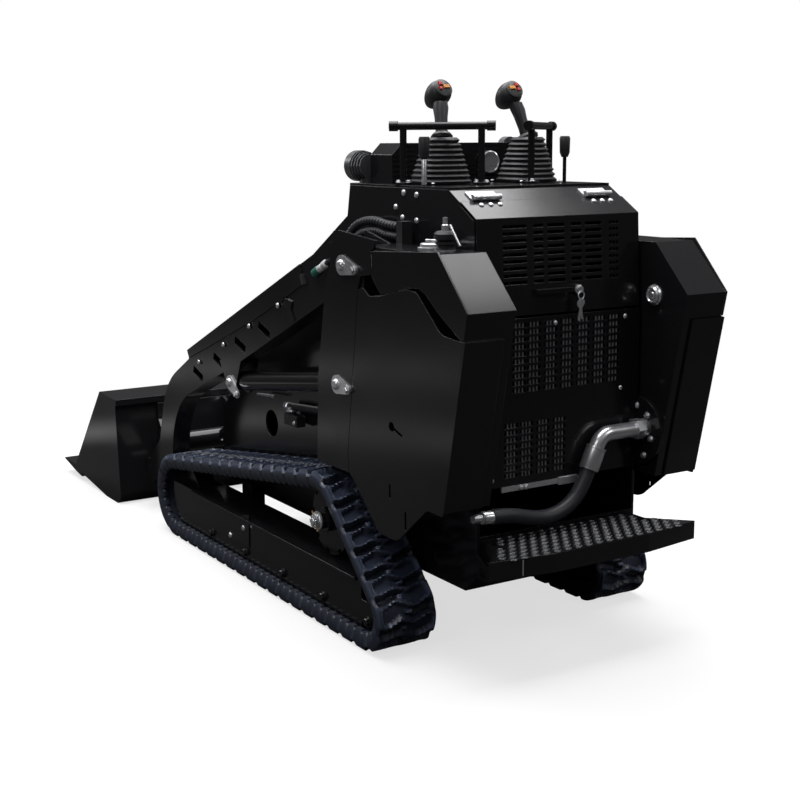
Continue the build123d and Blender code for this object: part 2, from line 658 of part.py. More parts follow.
with BuildPart() as hatch_hinges:
    for y in (HINGE_Y, -HINGE_Y):
        with BuildSketch(side_plane(y + HINGE_LENGTH / 2)):
            with Locations(HINGE_AXIS):
                Circle(HINGE_RADIUS)
            Polygon(
                HATCH_SEAM,
                turned(*HATCH_SEAM, HINGE_LEAF, rear_slope),
                turned(
                    *turned(*HATCH_SEAM, HINGE_LEAF, rear_slope),
                    HINGE_LEAF_PLATE, 90 + rear_slope,
                ),
                turned(*HATCH_SEAM, HINGE_LEAF_PLATE, 90 + rear_slope),
                align=None,
            )
        extrude(amount=HINGE_LENGTH)
on_centre["hatch_hinges"] = hatch_hinges

# ============================================================ towers and pods
# The outer plates of tower and pod lie edge to edge, with two wavy slots between them.
tower_front = (
    (-755, 1069),
    (-742, 1004),
    (-701, 885),
    (-660, 664),
    (TOWER_FRONT_FOOT_X, TOWER_FOOT_Z),
)
guard_seam = ((-822, TOWER_FOOT_Z), (-816, 486), (-838, 640), (-878, 929))
first_slot = ((-891, 963), (-944, 971))
tower_crown = ((-944, 1031), (-955, 1035), (-970, 1057), (-782, 1074))
pivots = (
    (LIFT_PIVOT_X, LIFT_PIVOT_Z, PIVOT_PIN_RADIUS),
    (CYLINDER_FOOT_X, CYLINDER_FOOT_Z, CYLINDER_PIN_RADIUS),
)
with BuildPart() as tower:
    with BuildSketch(side_plane(TOWER_OUTER_Y)):
        Polygon(*tower_front, *guard_seam, *first_slot, *tower_crown, align=None)
    extrude(amount=GUARD)
    with BuildSketch(side_plane(TOWER_INNER_Y + TOWER_PLATE)):
        Polygon(
            *tower_front,
            (POD_FRONT_FOOT_X, TOWER_FOOT_Z),
            (POD_FRONT_TOP_X, POD_TOP_Z),
            align=None,
        )
    extrude(amount=TOWER_PLATE)
    with BuildSketch(side_plane(POD_OUTER_Y)):
        Polygon(
            (POD_FRONT_FOOT_X, TOWER_FOOT_Z),
            (POD_FRONT_TOP_X, POD_TOP_Z),
            (POD_FRONT_TOP_X + TOWER_PLATE, POD_TOP_Z),
            (POD_FRONT_FOOT_X + TOWER_PLATE, TOWER_FOOT_Z),
            align=None,
        )
        Polygon(
            (TOWER_FRONT_FOOT_X, TOWER_FOOT_Z),
            (TOWER_FRONT_FOOT_X, TOWER_FOOT_Z + TOWER_PLATE),
            (POD_FRONT_FOOT_X, TOWER_FOOT_Z + TOWER_PLATE),
            (POD_FRONT_FOOT_X, TOWER_FOOT_Z),
            align=None,
        )
    extrude(amount=POD_OUTER_Y - BODY_HALF_WIDTH)
    for x, z, radius in pivots:
        with BuildSketch(side_plane(TOWER_OUTER_Y)):
            with Locations((x, z)):
                Circle(radius + PIN_PLAY)
        extrude(amount=TOWER_OUTER_Y - TOWER_INNER_Y, mode=Mode.SUBTRACT)
left_side["tower"] = tower


def flag(x, z, reach, drop, radius):
    """A keeper in the sketch in hand: a round head with a tail back to its bolt."""
    ends = [
        Edge.make_circle(radius, Plane(origin=(x, z, 0))),
        Edge.make_circle(KEEPER_HALF, Plane(origin=(x - reach, z - drop, 0))),
    ]
    make_hull(ends)


# Each pin runs through its tower and is kept by a flag bolted to the outer plate.
keepers = ((66, 8, PIVOT_PIN_RADIUS + 2), (60, 6, CYLINDER_PIN_RADIUS + 8))
with BuildPart() as tower_pins:
    for sign in (1, -1):
        head_y = TOWER_OUTER_Y if sign > 0 else -TOWER_OUTER_Y - KEEPER
        for (x, z, radius), (reach, drop, head) in zip(pivots, keepers):
            with BuildSketch(side_plane(TOWER_OUTER_Y if sign > 0 else -TOWER_INNER_Y)):
                with Locations((x, z)):
                    Circle(radius)
            extrude(amount=TOWER_OUTER_Y - TOWER_INNER_Y)
            with BuildSketch(side_plane(head_y + KEEPER if sign > 0 else head_y + KEEPER)):
                flag(x, z, reach, drop, head)
            extrude(amount=KEEPER)
on_centre["tower_pins"] = tower_pins

with BuildPart() as tank_pod:
    with BuildSketch(side_plane(POD_OUTER_Y)):
        Polygon(
            (POD_FRONT_TOP_X, POD_TOP_Z),
            POD_CHIN,
            POD_BACK,
            (POD_HEEL_X, POD_FOOT_Z),
            (POD_FRONT_FOOT_X, POD_FOOT_Z),
            (POD_FRONT_FOOT_X, TOWER_FOOT_Z),
            align=None,
        )
    extrude(amount=POD_OUTER_Y - POD_INNER_Y)
left_side["tank_pod"] = tank_pod

upper_guard = (
    (-944 - PLATE_SEAM, 1029),
    (-957, 1031),
    (POD_CHIN[0], POD_CHIN[1] + 6),
    POD_BACK,
    (-1349, 853),
    (-1336, 852),
    (-1238, 909),
    (-1190, 945),
    (-1157, 956),
    (-1106, 951),
    (-991, 925),
    (-961, 952),
    (-944 - PLATE_SEAM, 971),
)
lower_guard = (            # x, z, bend radius of the lower plate's corners
    (-822 - PLATE_SEAM, TOWER_FOOT_Z, 0),
    (-816 - PLATE_SEAM, 486, 30),
    (-838 - PLATE_SEAM, 640, 0),
    (-878 - PLATE_SEAM, 929, 0),
    (-905, 935, 10),
    (-933, 917, 10),
    (-991, 923, 0),
    (-1106, 951 - PLATE_SEAM, 0),
    (-1151, 946, 40),
    (-1256, 856, 60),
    (-1336, 852 - PLATE_SEAM, 0),
    (-1348, 851, 0),
    (POD_HEEL_X, 422, 0),
    (-1196, 423, 25),
    (-1060, 312, 50),
    (-972, 312, 40),
    (-847, 425, 15),
)
back_run = hypot(POD_BACK[0] - POD_HEEL_X, POD_BACK[1] - POD_FOOT_Z)
back_out = (
    (POD_BACK[0] - POD_HEEL_X) / (POD_BACK[1] - POD_FOOT_Z),
    GUARD * back_run / (POD_BACK[1] - POD_FOOT_Z),
)


def pod_back_x(z):
    """Where the pod's back stands at a given height."""
    return POD_HEEL_X + back_out[0] * (z - POD_FOOT_Z)


with BuildPart() as pod_guard:
    with BuildSketch(side_plane(TOWER_OUTER_Y)):
        Polygon(*upper_guard, align=None)
        with BuildLine():
            FilletPolyline(
                *[(x, z) for x, z, _ in lower_guard],
                radius=[bend for _, _, bend in lower_guard],
                close=True,
            )
        make_face()
        with Locations(KEYHOLE):
            Circle(KEYHOLE_RADIUS, mode=Mode.SUBTRACT)
        tail = turned(*KEYHOLE, KEYHOLE_TAIL / 2, 180 + KEYHOLE_TILT)
        with Locations(Location((tail[0], tail[1], 0), (0, 0, KEYHOLE_TILT))):
            Rectangle(KEYHOLE_TAIL, GUARD_SLOT_WIDTH, mode=Mode.SUBTRACT)
        for x, z, height in ((-1026, 434, 34), (-1099, 374, 46)):
            with Locations((x, z)):
                Rectangle(GUARD_SLOT_WIDTH, height, mode=Mode.SUBTRACT)
    extrude(amount=GUARD)
    with BuildSketch(side_plane(TOWER_OUTER_Y)):
        Polygon(
            (POD_HEEL_X, POD_FOOT_Z),
            (pod_back_x(GUARD_FLANGE_TOP_Z), GUARD_FLANGE_TOP_Z),
            (pod_back_x(GUARD_FLANGE_TOP_Z) - back_out[1], GUARD_FLANGE_TOP_Z),
            (POD_HEEL_X - back_out[1], POD_FOOT_Z),
            align=None,
        )
    extrude(amount=GUARD_FLANGE)
left_side["pod_guard"] = pod_guard

# ================================================================ lift arms
arm_outline = (            # x, z, bend radius at each corner
    (-830, 1020, 0),
    (-700, 1040, 80),
    (275, 625, 0),
    (270, 596, 0),
    (478, 487, ARM_KNEE),
    (550, 270, 60),
    (640, 205, 0),
    (COUPLER_PIN_X, COUPLER_PIN_Z, 0),
    (640, 102, 0),
    (440, 200, 20),
    (419, 421, ARM_KNEE),
    (-121, 638, 400),
    (-662, 875, 0),
    (-830, 945, 0),
)
ear_outline = (
    (EAR_X - EAR_RADIUS, EAR_Z),
    (EAR_X + EAR_RADIUS, EAR_Z),
    (EAR_X + EAR_RADIUS + EAR_SPREAD, EAR_Z + EAR_ROOT - EAR_SPREAD / 3),
    (EAR_X - EAR_RADIUS - EAR_SPREAD, EAR_Z + EAR_ROOT + EAR_SPREAD / 3),
)
with BuildPart() as arm:
    with BuildSketch(side_plane(ARM_OUTER_Y)):
        with BuildLine():
            FilletPolyline(
                *[(x, z) for x, z, _ in arm_outline],
                radius=[bend for _, _, bend in arm_outline],
                close=True,
            )
        make_face()
        with Locations((LIFT_PIVOT_X, LIFT_PIVOT_Z)):
            Circle(ARM_BOSS_RADIUS)
        with Locations((COUPLER_PIN_X, COUPLER_PIN_Z)):
            Circle(COUPLER_BOSS_RADIUS)
    extrude(amount=ARM_OUTER_Y - ARM_INNER_Y)
    # The arm is a box of plates: hollow between them, but solid at its two bosses.
    with BuildSketch(side_plane(ARM_OUTER_Y - ARM_WALL)):
        with BuildLine():
            FilletPolyline(
                *[(x, z) for x, z, _ in arm_outline],
                radius=[bend for _, _, bend in arm_outline],
                close=True,
            )
        make_face()
        offset(amount=-ARM_WALL, mode=Mode.REPLACE)
        with Locations((LIFT_PIVOT_X, LIFT_PIVOT_Z)):
            Circle(ARM_BOSS_RADIUS, mode=Mode.SUBTRACT)
        with Locations((COUPLER_PIN_X, COUPLER_PIN_Z)):
            Circle(COUPLER_BOSS_RADIUS, mode=Mode.SUBTRACT)
    extrude(amount=ARM_OUTER_Y - ARM_INNER_Y - 2 * ARM_WALL, mode=Mode.SUBTRACT)
    with BuildSketch(side_plane(ARM_OUTER_Y)):
        for x, z in ARM_SLOTS:
            with Locations(Location((x, z, 0), (0, 0, ARM_SLOT_TILT))):
                Rectangle(ARM_SLOT_LENGTH, ARM_SLOT_WIDTH)
    extrude(amount=ARM_WALL, mode=Mode.SUBTRACT)
    for outer_y in (ARM_OUTER_Y, ARM_INNER_Y + EAR_PLATE):
        with BuildSketch(side_plane(outer_y)):
            with Locations((EAR_X, EAR_Z)):
                Circle(EAR_RADIUS)
            Polygon(*ear_outline, align=None)
        extrude(amount=EAR_PLATE)
    with BuildSketch(side_plane(ARM_OUTER_Y)):
        with Locations((LIFT_PIVOT_X, LIFT_PIVOT_Z)):
            Circle(PIVOT_PIN_RADIUS + PIN_PLAY)
        with Locations((COUPLER_PIN_X, COUPLER_PIN_Z)):
            Circle(COUPLER_PIN_RADIUS + PIN_PLAY)
    extrude(amount=ARM_OUTER_Y - ARM_INNER_Y, mode=Mode.SUBTRACT)
left_side["arm"] = arm

with BuildPart() as arm_cover:
    with BuildSketch(side_plane(ARM_OUTER_Y + ARM_COVER)):
        Polygon(
            (274, 625),
            (260, 601),
            (-233, 780),
            (-367, 837),
            (-413, 850),
            (-426, 860),
            (-545, 914),
            (-527, 966),
            align=None,
        )
    extrude(amount=ARM_COVER)
left_side["arm_cover"] = arm_cover

with BuildPart() as ear_pins:
    for outer_y in (ARM_OUTER_Y + KEEPER, -ARM_OUTER_Y):
        with BuildSketch(side_plane(outer_y)):
            flag(EAR_X, EAR_Z, 50, 30, CYLINDER_PIN_RADIUS + 5)
        extrude(amount=KEEPER)
on_centre["ear_pins"] = ear_pins

with BuildPart() as cross_tubes:
    with BuildSketch(side_plane(ARM_INNER_Y)):
        with Locations(UPPER_TUBE, LOWER_TUBE):
            Circle(CROSS_TUBE_RADIUS)
    extrude(amount=2 * ARM_INNER_Y)
    ear_outer = EYE_WIDTH / 2 + TILT_SIDE_PLAY + TILT_EAR_PLATE
    for outer_y in (ear_outer, TILT_EAR_PLATE - ear_outer):
        with BuildSketch(side_plane(outer_y)):
            with Locations(TILT_FOOT):
                Circle(TILT_EAR_RADIUS)
            Polygon(
                (UPPER_TUBE[0], UPPER_TUBE[1] + CROSS_TUBE_RADIUS),
                (UPPER_TUBE[0], UPPER_TUBE[1] - CROSS_TUBE_RADIUS),
                (TILT_FOOT[0], TILT_FOOT[1] - TILT_EAR_RADIUS),
                (TILT_FOOT[0], TILT_FOOT[1] + TILT_EAR_RADIUS),
                align=None,
            )
        extrude(amount=TILT_EAR_PLATE)
    with BuildSketch(side_plane(ear_outer)):
        with Locations(TILT_FOOT):
            Circle(TILT_PIN_RADIUS)
    extrude(amount=2 * ear_outer)
on_centre["cross_tubes"] = cross_tubes


# ================================================================ cylinders
def along(foot, slope, distance):
    """The plane across a cylinder's axis, a distance up from its foot pin."""
    x, y, z = foot
    spot = turned(x, z, distance, slope)
    return Plane(
        origin=(spot[0], y, spot[1]),
        x_dir=(0, 1, 0),
        z_dir=(cos(radians(slope)), 0, sin(radians(slope))),
    )


def barrel_of(foot, slope, length, radius, rod_radius, eye_radius, pin_radius):
    """A barrel with its eye at the foot pin and its gland at the given length."""
    with BuildPart() as barrel:
        with BuildSketch(side_plane(foot[1] + EYE_WIDTH / 2)):
            with Locations((foot[0], foot[2])):
                Circle(eye_radius)
        extrude(amount=EYE_WIDTH)
        with BuildSketch(along(foot, slope, eye_radius / 2)):
            Circle(radius)
        extrude(amount=length - eye_radius / 2)
        with BuildSketch(along(foot, slope, eye_radius + BARREL_WALL)):
            Circle(radius - BARREL_WALL)
        extrude(amount=length - eye_radius - 4 * BARREL_WALL, mode=Mode.SUBTRACT)
        with BuildSketch(along(foot, slope, length)):
            Circle(rod_radius + ROD_PLAY)
        extrude(amount=-5 * BARREL_WALL, mode=Mode.SUBTRACT)
        with BuildSketch(side_plane(foot[1] + radius)):
            with Locations((foot[0], foot[2])):
                Circle(pin_radius + PIN_PLAY)
        extrude(amount=2 * radius, mode=Mode.SUBTRACT)
    return barrel


def rod_of(foot, slope, shut, closing, rod_radius, bore_radius, eye_radius, pin_radius):
    """A rod with its piston inside the barrel and its eye at the far pin."""
    far = turned(foot[0], foot[2], shut, slope)
    tail = eye_radius + BARREL_WALL + ROD_TAIL + closing
    with BuildPart() as rod:
        with BuildSketch(along(foot, slope, tail)):
            Circle(rod_radius)
        extrude(amount=shut - tail)
        with BuildSketch(along(foot, slope, tail)):
            Circle(bore_radius - ROD_PLAY)
        extrude(amount=EYE_WIDTH)
        with BuildSketch(side_plane(foot[1] + EYE_WIDTH / 2)):
            with Locations(far):
                Circle(eye_radius)
        extrude(amount=EYE_WIDTH)
        with BuildSketch(side_plane(foot[1] + EYE_WIDTH / 2)):
            with Locations(far):
                Circle(pin_radius + PIN_PLAY)
        extrude(amount=EYE_WIDTH, mode=Mode.SUBTRACT)
    return rod


lift_foot = (CYLINDER_FOOT_X, ARM_CENTRE_Y, CYLINDER_FOOT_Z)
left_side["lift_barrel"] = barrel_of(
    lift_foot, LIFT_DROP, LIFT_SHUT - LIFT_GAP_AT_ROD_PIN, LIFT_BARREL_RADIUS,
    LIFT_ROD_RADIUS, EYE_RADIUS, CYLINDER_PIN_RADIUS,
)
left_side["lift_rod"] = rod_of(
    lift_foot, LIFT_DROP, LIFT_SHUT, 0, LIFT_ROD_RADIUS,
    LIFT_BARREL_RADIUS - BARREL_WALL, EYE_RADIUS, CYLINDER_PIN_RADIUS,
)
tilt_foot = (TILT_FOOT[0], 0, TILT_FOOT[1])
on_centre["tilt_barrel"] = barrel_of(
    tilt_foot, TILT_DROP, TILT_SHUT - TILT_GAP_AT_ROD_PIN, TILT_BARREL_RADIUS,
    TILT_ROD_RADIUS, TILT_EYE_RADIUS, TILT_PIN_RADIUS,
)
on_centre["tilt_rod"] = rod_of(
    tilt_foot, TILT_DROP, TILT_SHUT, TILT_CLOSING, TILT_ROD_RADIUS,
    TILT_BARREL_RADIUS - BARREL_WALL, TILT_EYE_RADIUS, TILT_PIN_RADIUS,
)

# ======================================================= coupler and bucket
back_slant = (BUCKET_TOP_X - BUCKET_HEEL_X) / BUCKET_TOP_Z


def back_x(z):
    """Where the bucket's back stands at a given height."""
    return BUCKET_HEEL_X + back_slant * z


def coupler_x(z):
    """Where the coupler plate's rear face stands at a given height."""
    return back_x(z) - COUPLER_PLATE


with BuildPart() as coupler:
    with BuildSketch(side_plane(COUPLER_HALF_WIDTH)):
        Polygon(
            (back_x(COUPLER_FOOT_Z), COUPLER_FOOT_Z),
            (back_x(COUPLER_TOP_Z), COUPLER_TOP_Z),
            (back_x(COUPLER_TOP_Z) - COUPLER_PLATE, COUPLER_TOP_Z),
            (back_x(COUPLER_FOOT_Z) - COUPLER_PLATE, COUPLER_FOOT_Z),
            align=None,
        )
    extrude(amount=2 * COUPLER_HALF_WIDTH)
    for outer_y in (COUPLER_HALF_WIDTH, COUPLER_EAR_PLATE - COUPLER_HALF_WIDTH):
        with BuildSketch(side_plane(outer_y)):
            with Locations((COUPLER_PIN_X, COUPLER_PIN_Z)):
                Circle(COUPLER_BOSS_RADIUS)
            Polygon(
                turned(COUPLER_PIN_X, COUPLER_PIN_Z, COUPLER_BOSS_RADIUS, 100),
                turned(COUPLER_PIN_X, COUPLER_PIN_Z, COUPLER_BOSS_RADIUS, -80),
                (coupler_x(COUPLER_FOOT_Z), COUPLER_FOOT_Z),
                (coupler_x(COUPLER_TOP_Z - COUPLER_EAR_TRIM), COUPLER_TOP_Z - COUPLER_EAR_TRIM),
                align=None,
            )
        extrude(amount=COUPLER_EAR_PLATE)
    for outer_y in (ear_outer, TILT_EAR_PLATE - ear_outer):
        with BuildSketch(side_plane(outer_y)):
            with Locations(TILT_PIN):
                Circle(TILT_EAR_RADIUS)
            Polygon(
                turned(*TILT_PIN, TILT_EAR_RADIUS, 100),
                turned(*TILT_PIN, TILT_EAR_RADIUS, 180),
                (COUPLER_PIN_X, COUPLER_PIN_Z),
                (coupler_x(COUPLER_FOOT_Z + TILT_EAR_FOOT), COUPLER_FOOT_Z + TILT_EAR_FOOT),
                (coupler_x(COUPLER_TOP_Z), COUPLER_TOP_Z),
                align=None,
            )
        extrude(amount=TILT_EAR_PLATE)
    for sign in (1, -1):
        with BuildSketch(side_plane(sign * ARM_OUTER_Y if sign > 0 else -COUPLER_HALF_WIDTH)):
            with Locations((COUPLER_PIN_X, COUPLER_PIN_Z)):
                Circle(COUPLER_PIN_RADIUS)
        extrude(amount=ARM_OUTER_Y - COUPLER_HALF_WIDTH)
on_centre["coupler"] = coupler

floor_rise = (BUCKET_CHEEK_Z - BUCKET_LIP_LIFT) / (BUCKET_CHEEK_X - BUCKET_FLOOR_BREAK_X)
corner_z = BUCKET_CHEEK_Z - BUCKET_LIP_LIFT
rail_foot_z = COUPLER_TOP_Z + BUCKET_RAIL_GAP
with BuildPart() as bucket:
    with BuildSketch(side_plane(BUCKET_HALF_WIDTH)):
        with BuildLine():
            FilletPolyline(
                (BUCKET_HEEL_X, 0),
                (BUCKET_FLOOR_BREAK_X, 0),
                (BUCKET_CHEEK_X, corner_z),
                (BUCKET_CHEEK_X, BUCKET_CHEEK_Z),
                (BUCKET_BROW_X, BUCKET_BROW_Z),
                (BUCKET_TOP_X, BUCKET_TOP_Z),
                radius=[BUCKET_HEEL_BEND, 0, 0, 0, 0, 0],
                close=True,
            )
        make_face()
    extrude(amount=2 * BUCKET_HALF_WIDTH)
    mouth = bucket.faces().filter_by(Axis.Y, reverse=True).sort_by(Axis.X)[-2:]
    offset(amount=-BUCKET_SHEET, openings=mouth)
    with BuildSketch(side_plane(BUCKET_HALF_WIDTH)):
        Polygon(
            (back_x(BUCKET_TOP_Z), BUCKET_TOP_Z),
            (back_x(rail_foot_z), rail_foot_z),
            (back_x(rail_foot_z) - BUCKET_RAIL_PLATE, rail_foot_z),
            (back_x(BUCKET_TOP_Z) - BUCKET_RAIL_PLATE, BUCKET_TOP_Z),
            align=None,
        )
    extrude(amount=2 * BUCKET_HALF_WIDTH)
on_centre["bucket"] = bucket

# The cutting edge lies under the floor's front and runs on past it to its lip.
lap_z = corner_z - EDGE_LAP * floor_rise
with BuildPart() as cutting_edge:
    with BuildSketch(side_plane(BUCKET_HALF_WIDTH)):
        Polygon(
            (BUCKET_CHEEK_X - EDGE_LAP, lap_z),
            (BUCKET_CHEEK_X, corner_z),
            (BUCKET_CHEEK_X, corner_z + EDGE_TOOTH),
            (BUCKET_LIP_X, BUCKET_LIP_Z),
            (BUCKET_LIP_X, BUCKET_LIP_Z - EDGE_TIP),
            (BUCKET_CHEEK_X, corner_z - CUTTING_EDGE),
            (BUCKET_CHEEK_X - EDGE_LAP, lap_z - CUTTING_EDGE),
            align=None,
        )
    extrude(amount=2 * BUCKET_HALF_WIDTH)
on_centre["cutting_edge"] = cutting_edge

# ============================================================== rear, controls
with BuildPart() as platform:
    with BuildSketch(Plane.XY.offset(PLATFORM_TOP_Z)):
        Polygon(
            (PLATFORM_REAR_X, PLATFORM_STRAIGHT / 2),
            (PLATFORM_REAR_X, -PLATFORM_STRAIGHT / 2),
            (PLATFORM_REAR_X + PLATFORM_RAKE, -PLATFORM_HALF_WIDTH),
            (PLATFORM_FRONT_X, -PLATFORM_NECK / 2),
            (CHASSIS_REAR_X, -PLATFORM_NECK / 2),
            (CHASSIS_REAR_X, PLATFORM_NECK / 2),
            (PLATFORM_FRONT_X, PLATFORM_NECK / 2),
            (PLATFORM_REAR_X + PLATFORM_RAKE, PLATFORM_HALF_WIDTH),
            align=None,
        )
    extrude(amount=-PLATFORM_LIP)
    offset(amount=-PLATFORM_SHEET, openings=platform.faces().sort_by(Axis.Z)[0])
on_centre["platform"] = platform

with BuildPart() as pod_cover:
    with BuildSketch(side_plane(-BODY_HALF_WIDTH)):
        with Locations((FLANGE_X, FLANGE_Z)):
            Circle(FLANGE_RADIUS)
    extrude(amount=FLANGE_PLATE)
on_centre["pod_cover"] = pod_cover

# ------------------------------------------------------- oil pipe and hoses
def tangent_arcs(points):
    """The bend at each corner of a hose's path, as large as its two runs allow."""
    bends = []
    for before, corner, after in zip(points, points[1:], points[2:]):
        run_in = Vector(*corner) - Vector(*before)
        run_out = Vector(*after) - Vector(*corner)
        half_turn = radians(run_in.get_angle(run_out)) / 2
        bends.append(0.45 * min(run_in.length, run_out.length) / tan(half_turn))
    return bends


def hose(name, points, radius):
    """A hose of straight runs and tangent arcs; says its length and its bends."""
    bends = tangent_arcs(points)
    with BuildPart() as tube:
        with BuildLine() as path:
            FilletPolyline(*points, radius=bends)
        with BuildSketch(path.line ^ 0):
            ring = RegularPolygon(radius, HOSE_SIDES)
        sweep()
    section = ring.area
    print(name, "length", round(path.wires()[0].length), "radii", [round(bend) for bend in bends],
          "volume/section", round(tube.part.volume / section))
    return tube


# A steel pipe turns down off the pod's cover and ends in a ferrule over the hose.
bend_y = OIL_BEND_Y
pipe_start_y = -BODY_HALF_WIDTH + 14
lean_dir = (0, sin(radians(OIL_LEAN)), -cos(radians(OIL_LEAN)))
bend_half = radians(90 - OIL_LEAN) / 2
pipe_fall = OIL_BEND_RADIUS * tan(bend_half) + 6
pipe_end = (
    OIL_PIPE_X,
    bend_y + lean_dir[1] * pipe_fall,
    OIL_PIPE_Z + lean_dir[2] * pipe_fall,
)
hose_start = tuple(end + step * FERRULE_LENGTH for end, step in zip(pipe_end, lean_dir))
with BuildPart() as oil_elbow:
    with BuildLine() as pipe_path:
        FilletPolyline(
            (OIL_PIPE_X, pipe_start_y, OIL_PIPE_Z), (OIL_PIPE_X, bend_y, OIL_PIPE_Z), pipe_end,
            radius=OIL_BEND_RADIUS,
        )
    with BuildSketch(pipe_path.line ^ 0):
        Circle(OIL_PIPE_RADIUS)
    sweep()
    with BuildSketch(Plane(origin=pipe_end, z_dir=lean_dir)):
        Circle(FERRULE_RADIUS)
    extrude(amount=FERRULE_LENGTH)
    with BuildSketch(side_plane(pipe_start_y)):
        with Locations((OIL_PIPE_X, OIL_PIPE_Z)):
            RegularPolygon(OIL_PIPE_RADIUS + 8, 6)
    extrude(amount=-26)
on_centre["oil_elbow"] = oil_elbow

hose_x, hose_y, hose_z = hose_start
rear_hose_route = [hose_start]
for turn, run in (
    (OIL_LEAN, 60), (50, 60), (75, 60), (98, 60), (106, 62), (93, REAR_HOSE_LAST)
):
    last = rear_hose_route[-1]
    rear_hose_route.append(
        (hose_x, last[1] + run * sin(radians(turn)), last[2] - run * cos(radians(turn)))
    )
on_centre["rear_hose"] = hose("rear_hose", rear_hose_route, REAR_HOSE_RADIUS)
hose_end = rear_hose_route[-1]
hose_end_dir = tuple(
    (there - here) / REAR_HOSE_LAST for here, there in zip(rear_hose_route[-2], hose_end)
)

# Two hoses arch from a block on the cowl's cheek to a block on the left pod's top.
pod_hose_y = (BODY_HALF_WIDTH + TOWER_INNER_Y) / 2 + POD_HOSE_SHIFT
pod_hose_routes = {
    "pod_hose_inner": (
        (-626, 950), (-626, 986), (-642, 1022), (-674, 1048),
        (-720, 1062), (-774, 1067), (-834, 1056), (-892, 1056),
    ),
    "pod_hose_outer": (
        (-598, 950), (-598, 1000), (-618, 1042), (-660, 1074),
        (-712, 1090), (-772, 1094), (-834, 1083), (-892, 1083),
    ),
}
for name, route in pod_hose_routes.items():
    on_centre[name] = hose(name, [(x, pod_hose_y, z) for x, z in route], POD_HOSE_RADIUS)
starts = [route[0] for route in pod_hose_routes.values()]
ends = [route[-1] for route in pod_hose_routes.values()]
cheek_block = (
    (starts[0][0] - HOSE_BLOCK / 2, starts[0][1] - HOSE_BLOCK),
    (starts[1][0] + HOSE_BLOCK / 2, starts[1][1]),
)
pod_block = ((ends[0][0] - HOSE_BLOCK, POD_TOP_Z), (ends[0][0], ends[1][1] + HOSE_BLOCK / 2))
with BuildPart() as hose_fittings:
    for radius, length in REAR_HOSE_FITTING:
        with BuildSketch(Plane(origin=hose_end, z_dir=hose_end_dir)):
            Circle(radius)
        extrude(amount=length)
    for inner_y, (low, high) in ((BODY_HALF_WIDTH, cheek_block), (POD_INNER_Y, pod_block)):
        with BuildSketch(side_plane(pod_hose_y + HOSE_BLOCK / 2)):
            with Locations(((low[0] + high[0]) / 2, (low[1] + high[1]) / 2)):
                Rectangle(high[0] - low[0], high[1] - low[1])
        extrude(amount=pod_hose_y + HOSE_BLOCK / 2 - inner_y)
on_centre["hose_fittings"] = hose_fittings

# ---------------------------------------------------- caps on the left pod
with BuildPart() as pod_caps:
    with BuildSketch(Plane.XY.offset(POD_TOP_Z)):
        with Locations(CAP_PLACE):
            RegularPolygon(CAP_RADIUS, 12)
    extrude(amount=CAP_HEIGHT)
    with BuildSketch(Plane.XY.offset(POD_TOP_Z)):
        with Locations(BREATHER_PLACE):
            Circle(BREATHER_RADIUS)
    extrude(amount=BREATHER_HEIGHT)
    with BuildSketch(Plane.XY.offset(POD_TOP_Z + BREATHER_HEIGHT)):
        with Locations(BREATHER_PLACE):
            Circle(BREATHER_RADIUS / 3)
    extrude(amount=BREATHER_HEIGHT / 2)
on_centre["pod_caps"] = pod_caps

# ---------------------------------------------------------------- controls
stem_slope = degrees(atan2(STEM_TOP[1] - STEM_FOOT[1], STEM_TOP[0] - STEM_FOOT[0]))
stem_run = hypot(STEM_TOP[0] - STEM_FOOT[0], STEM_TOP[1] - STEM_FOOT[1])
ridge = BOOT_HEIGHT / BOOT_RIDGES
for side, y in (("left", STICK_Y), ("right", -STICK_Y)):
    with BuildPart() as joystick:
        # The boot's bellows: each ridge is wide at its foot and drawn in at its top.
        for number in range(BOOT_RIDGES):
            share = number / BOOT_RIDGES
            width = BOOT_FOOT + (BOOT_TOP - BOOT_FOOT) * share
            for step, size in ((0, width), (ridge / 2, width - 2 * BOOT_GROOVE)):
                with BuildSketch(Plane.XY.offset(DECK_TOP_Z + number * ridge + step)):
                    with Locations((STICK_X, y)):
                        RegularPolygon(size / 2, 8, major_radius=False, rotation=22.5)
                extrude(amount=ridge / 2)
        with BuildSketch(along((STEM_FOOT[0], y, STEM_FOOT[1]), stem_slope, 0)):
            RegularPolygon(STEM_RADIUS, 8)
        extrude(amount=stem_run)
        with BuildSketch(side_plane(y + GRIP_WIDTH / 2)):
            make_hull([
                Edge.make_circle(GRIP_RADIUS, Plane(origin=(x, z, 0)))
                for x, z in (GRIP_REAR, GRIP_FRONT)
            ])
        extrude(amount=GRIP_WIDTH)
    on_centre["joystick_" + side] = joystick

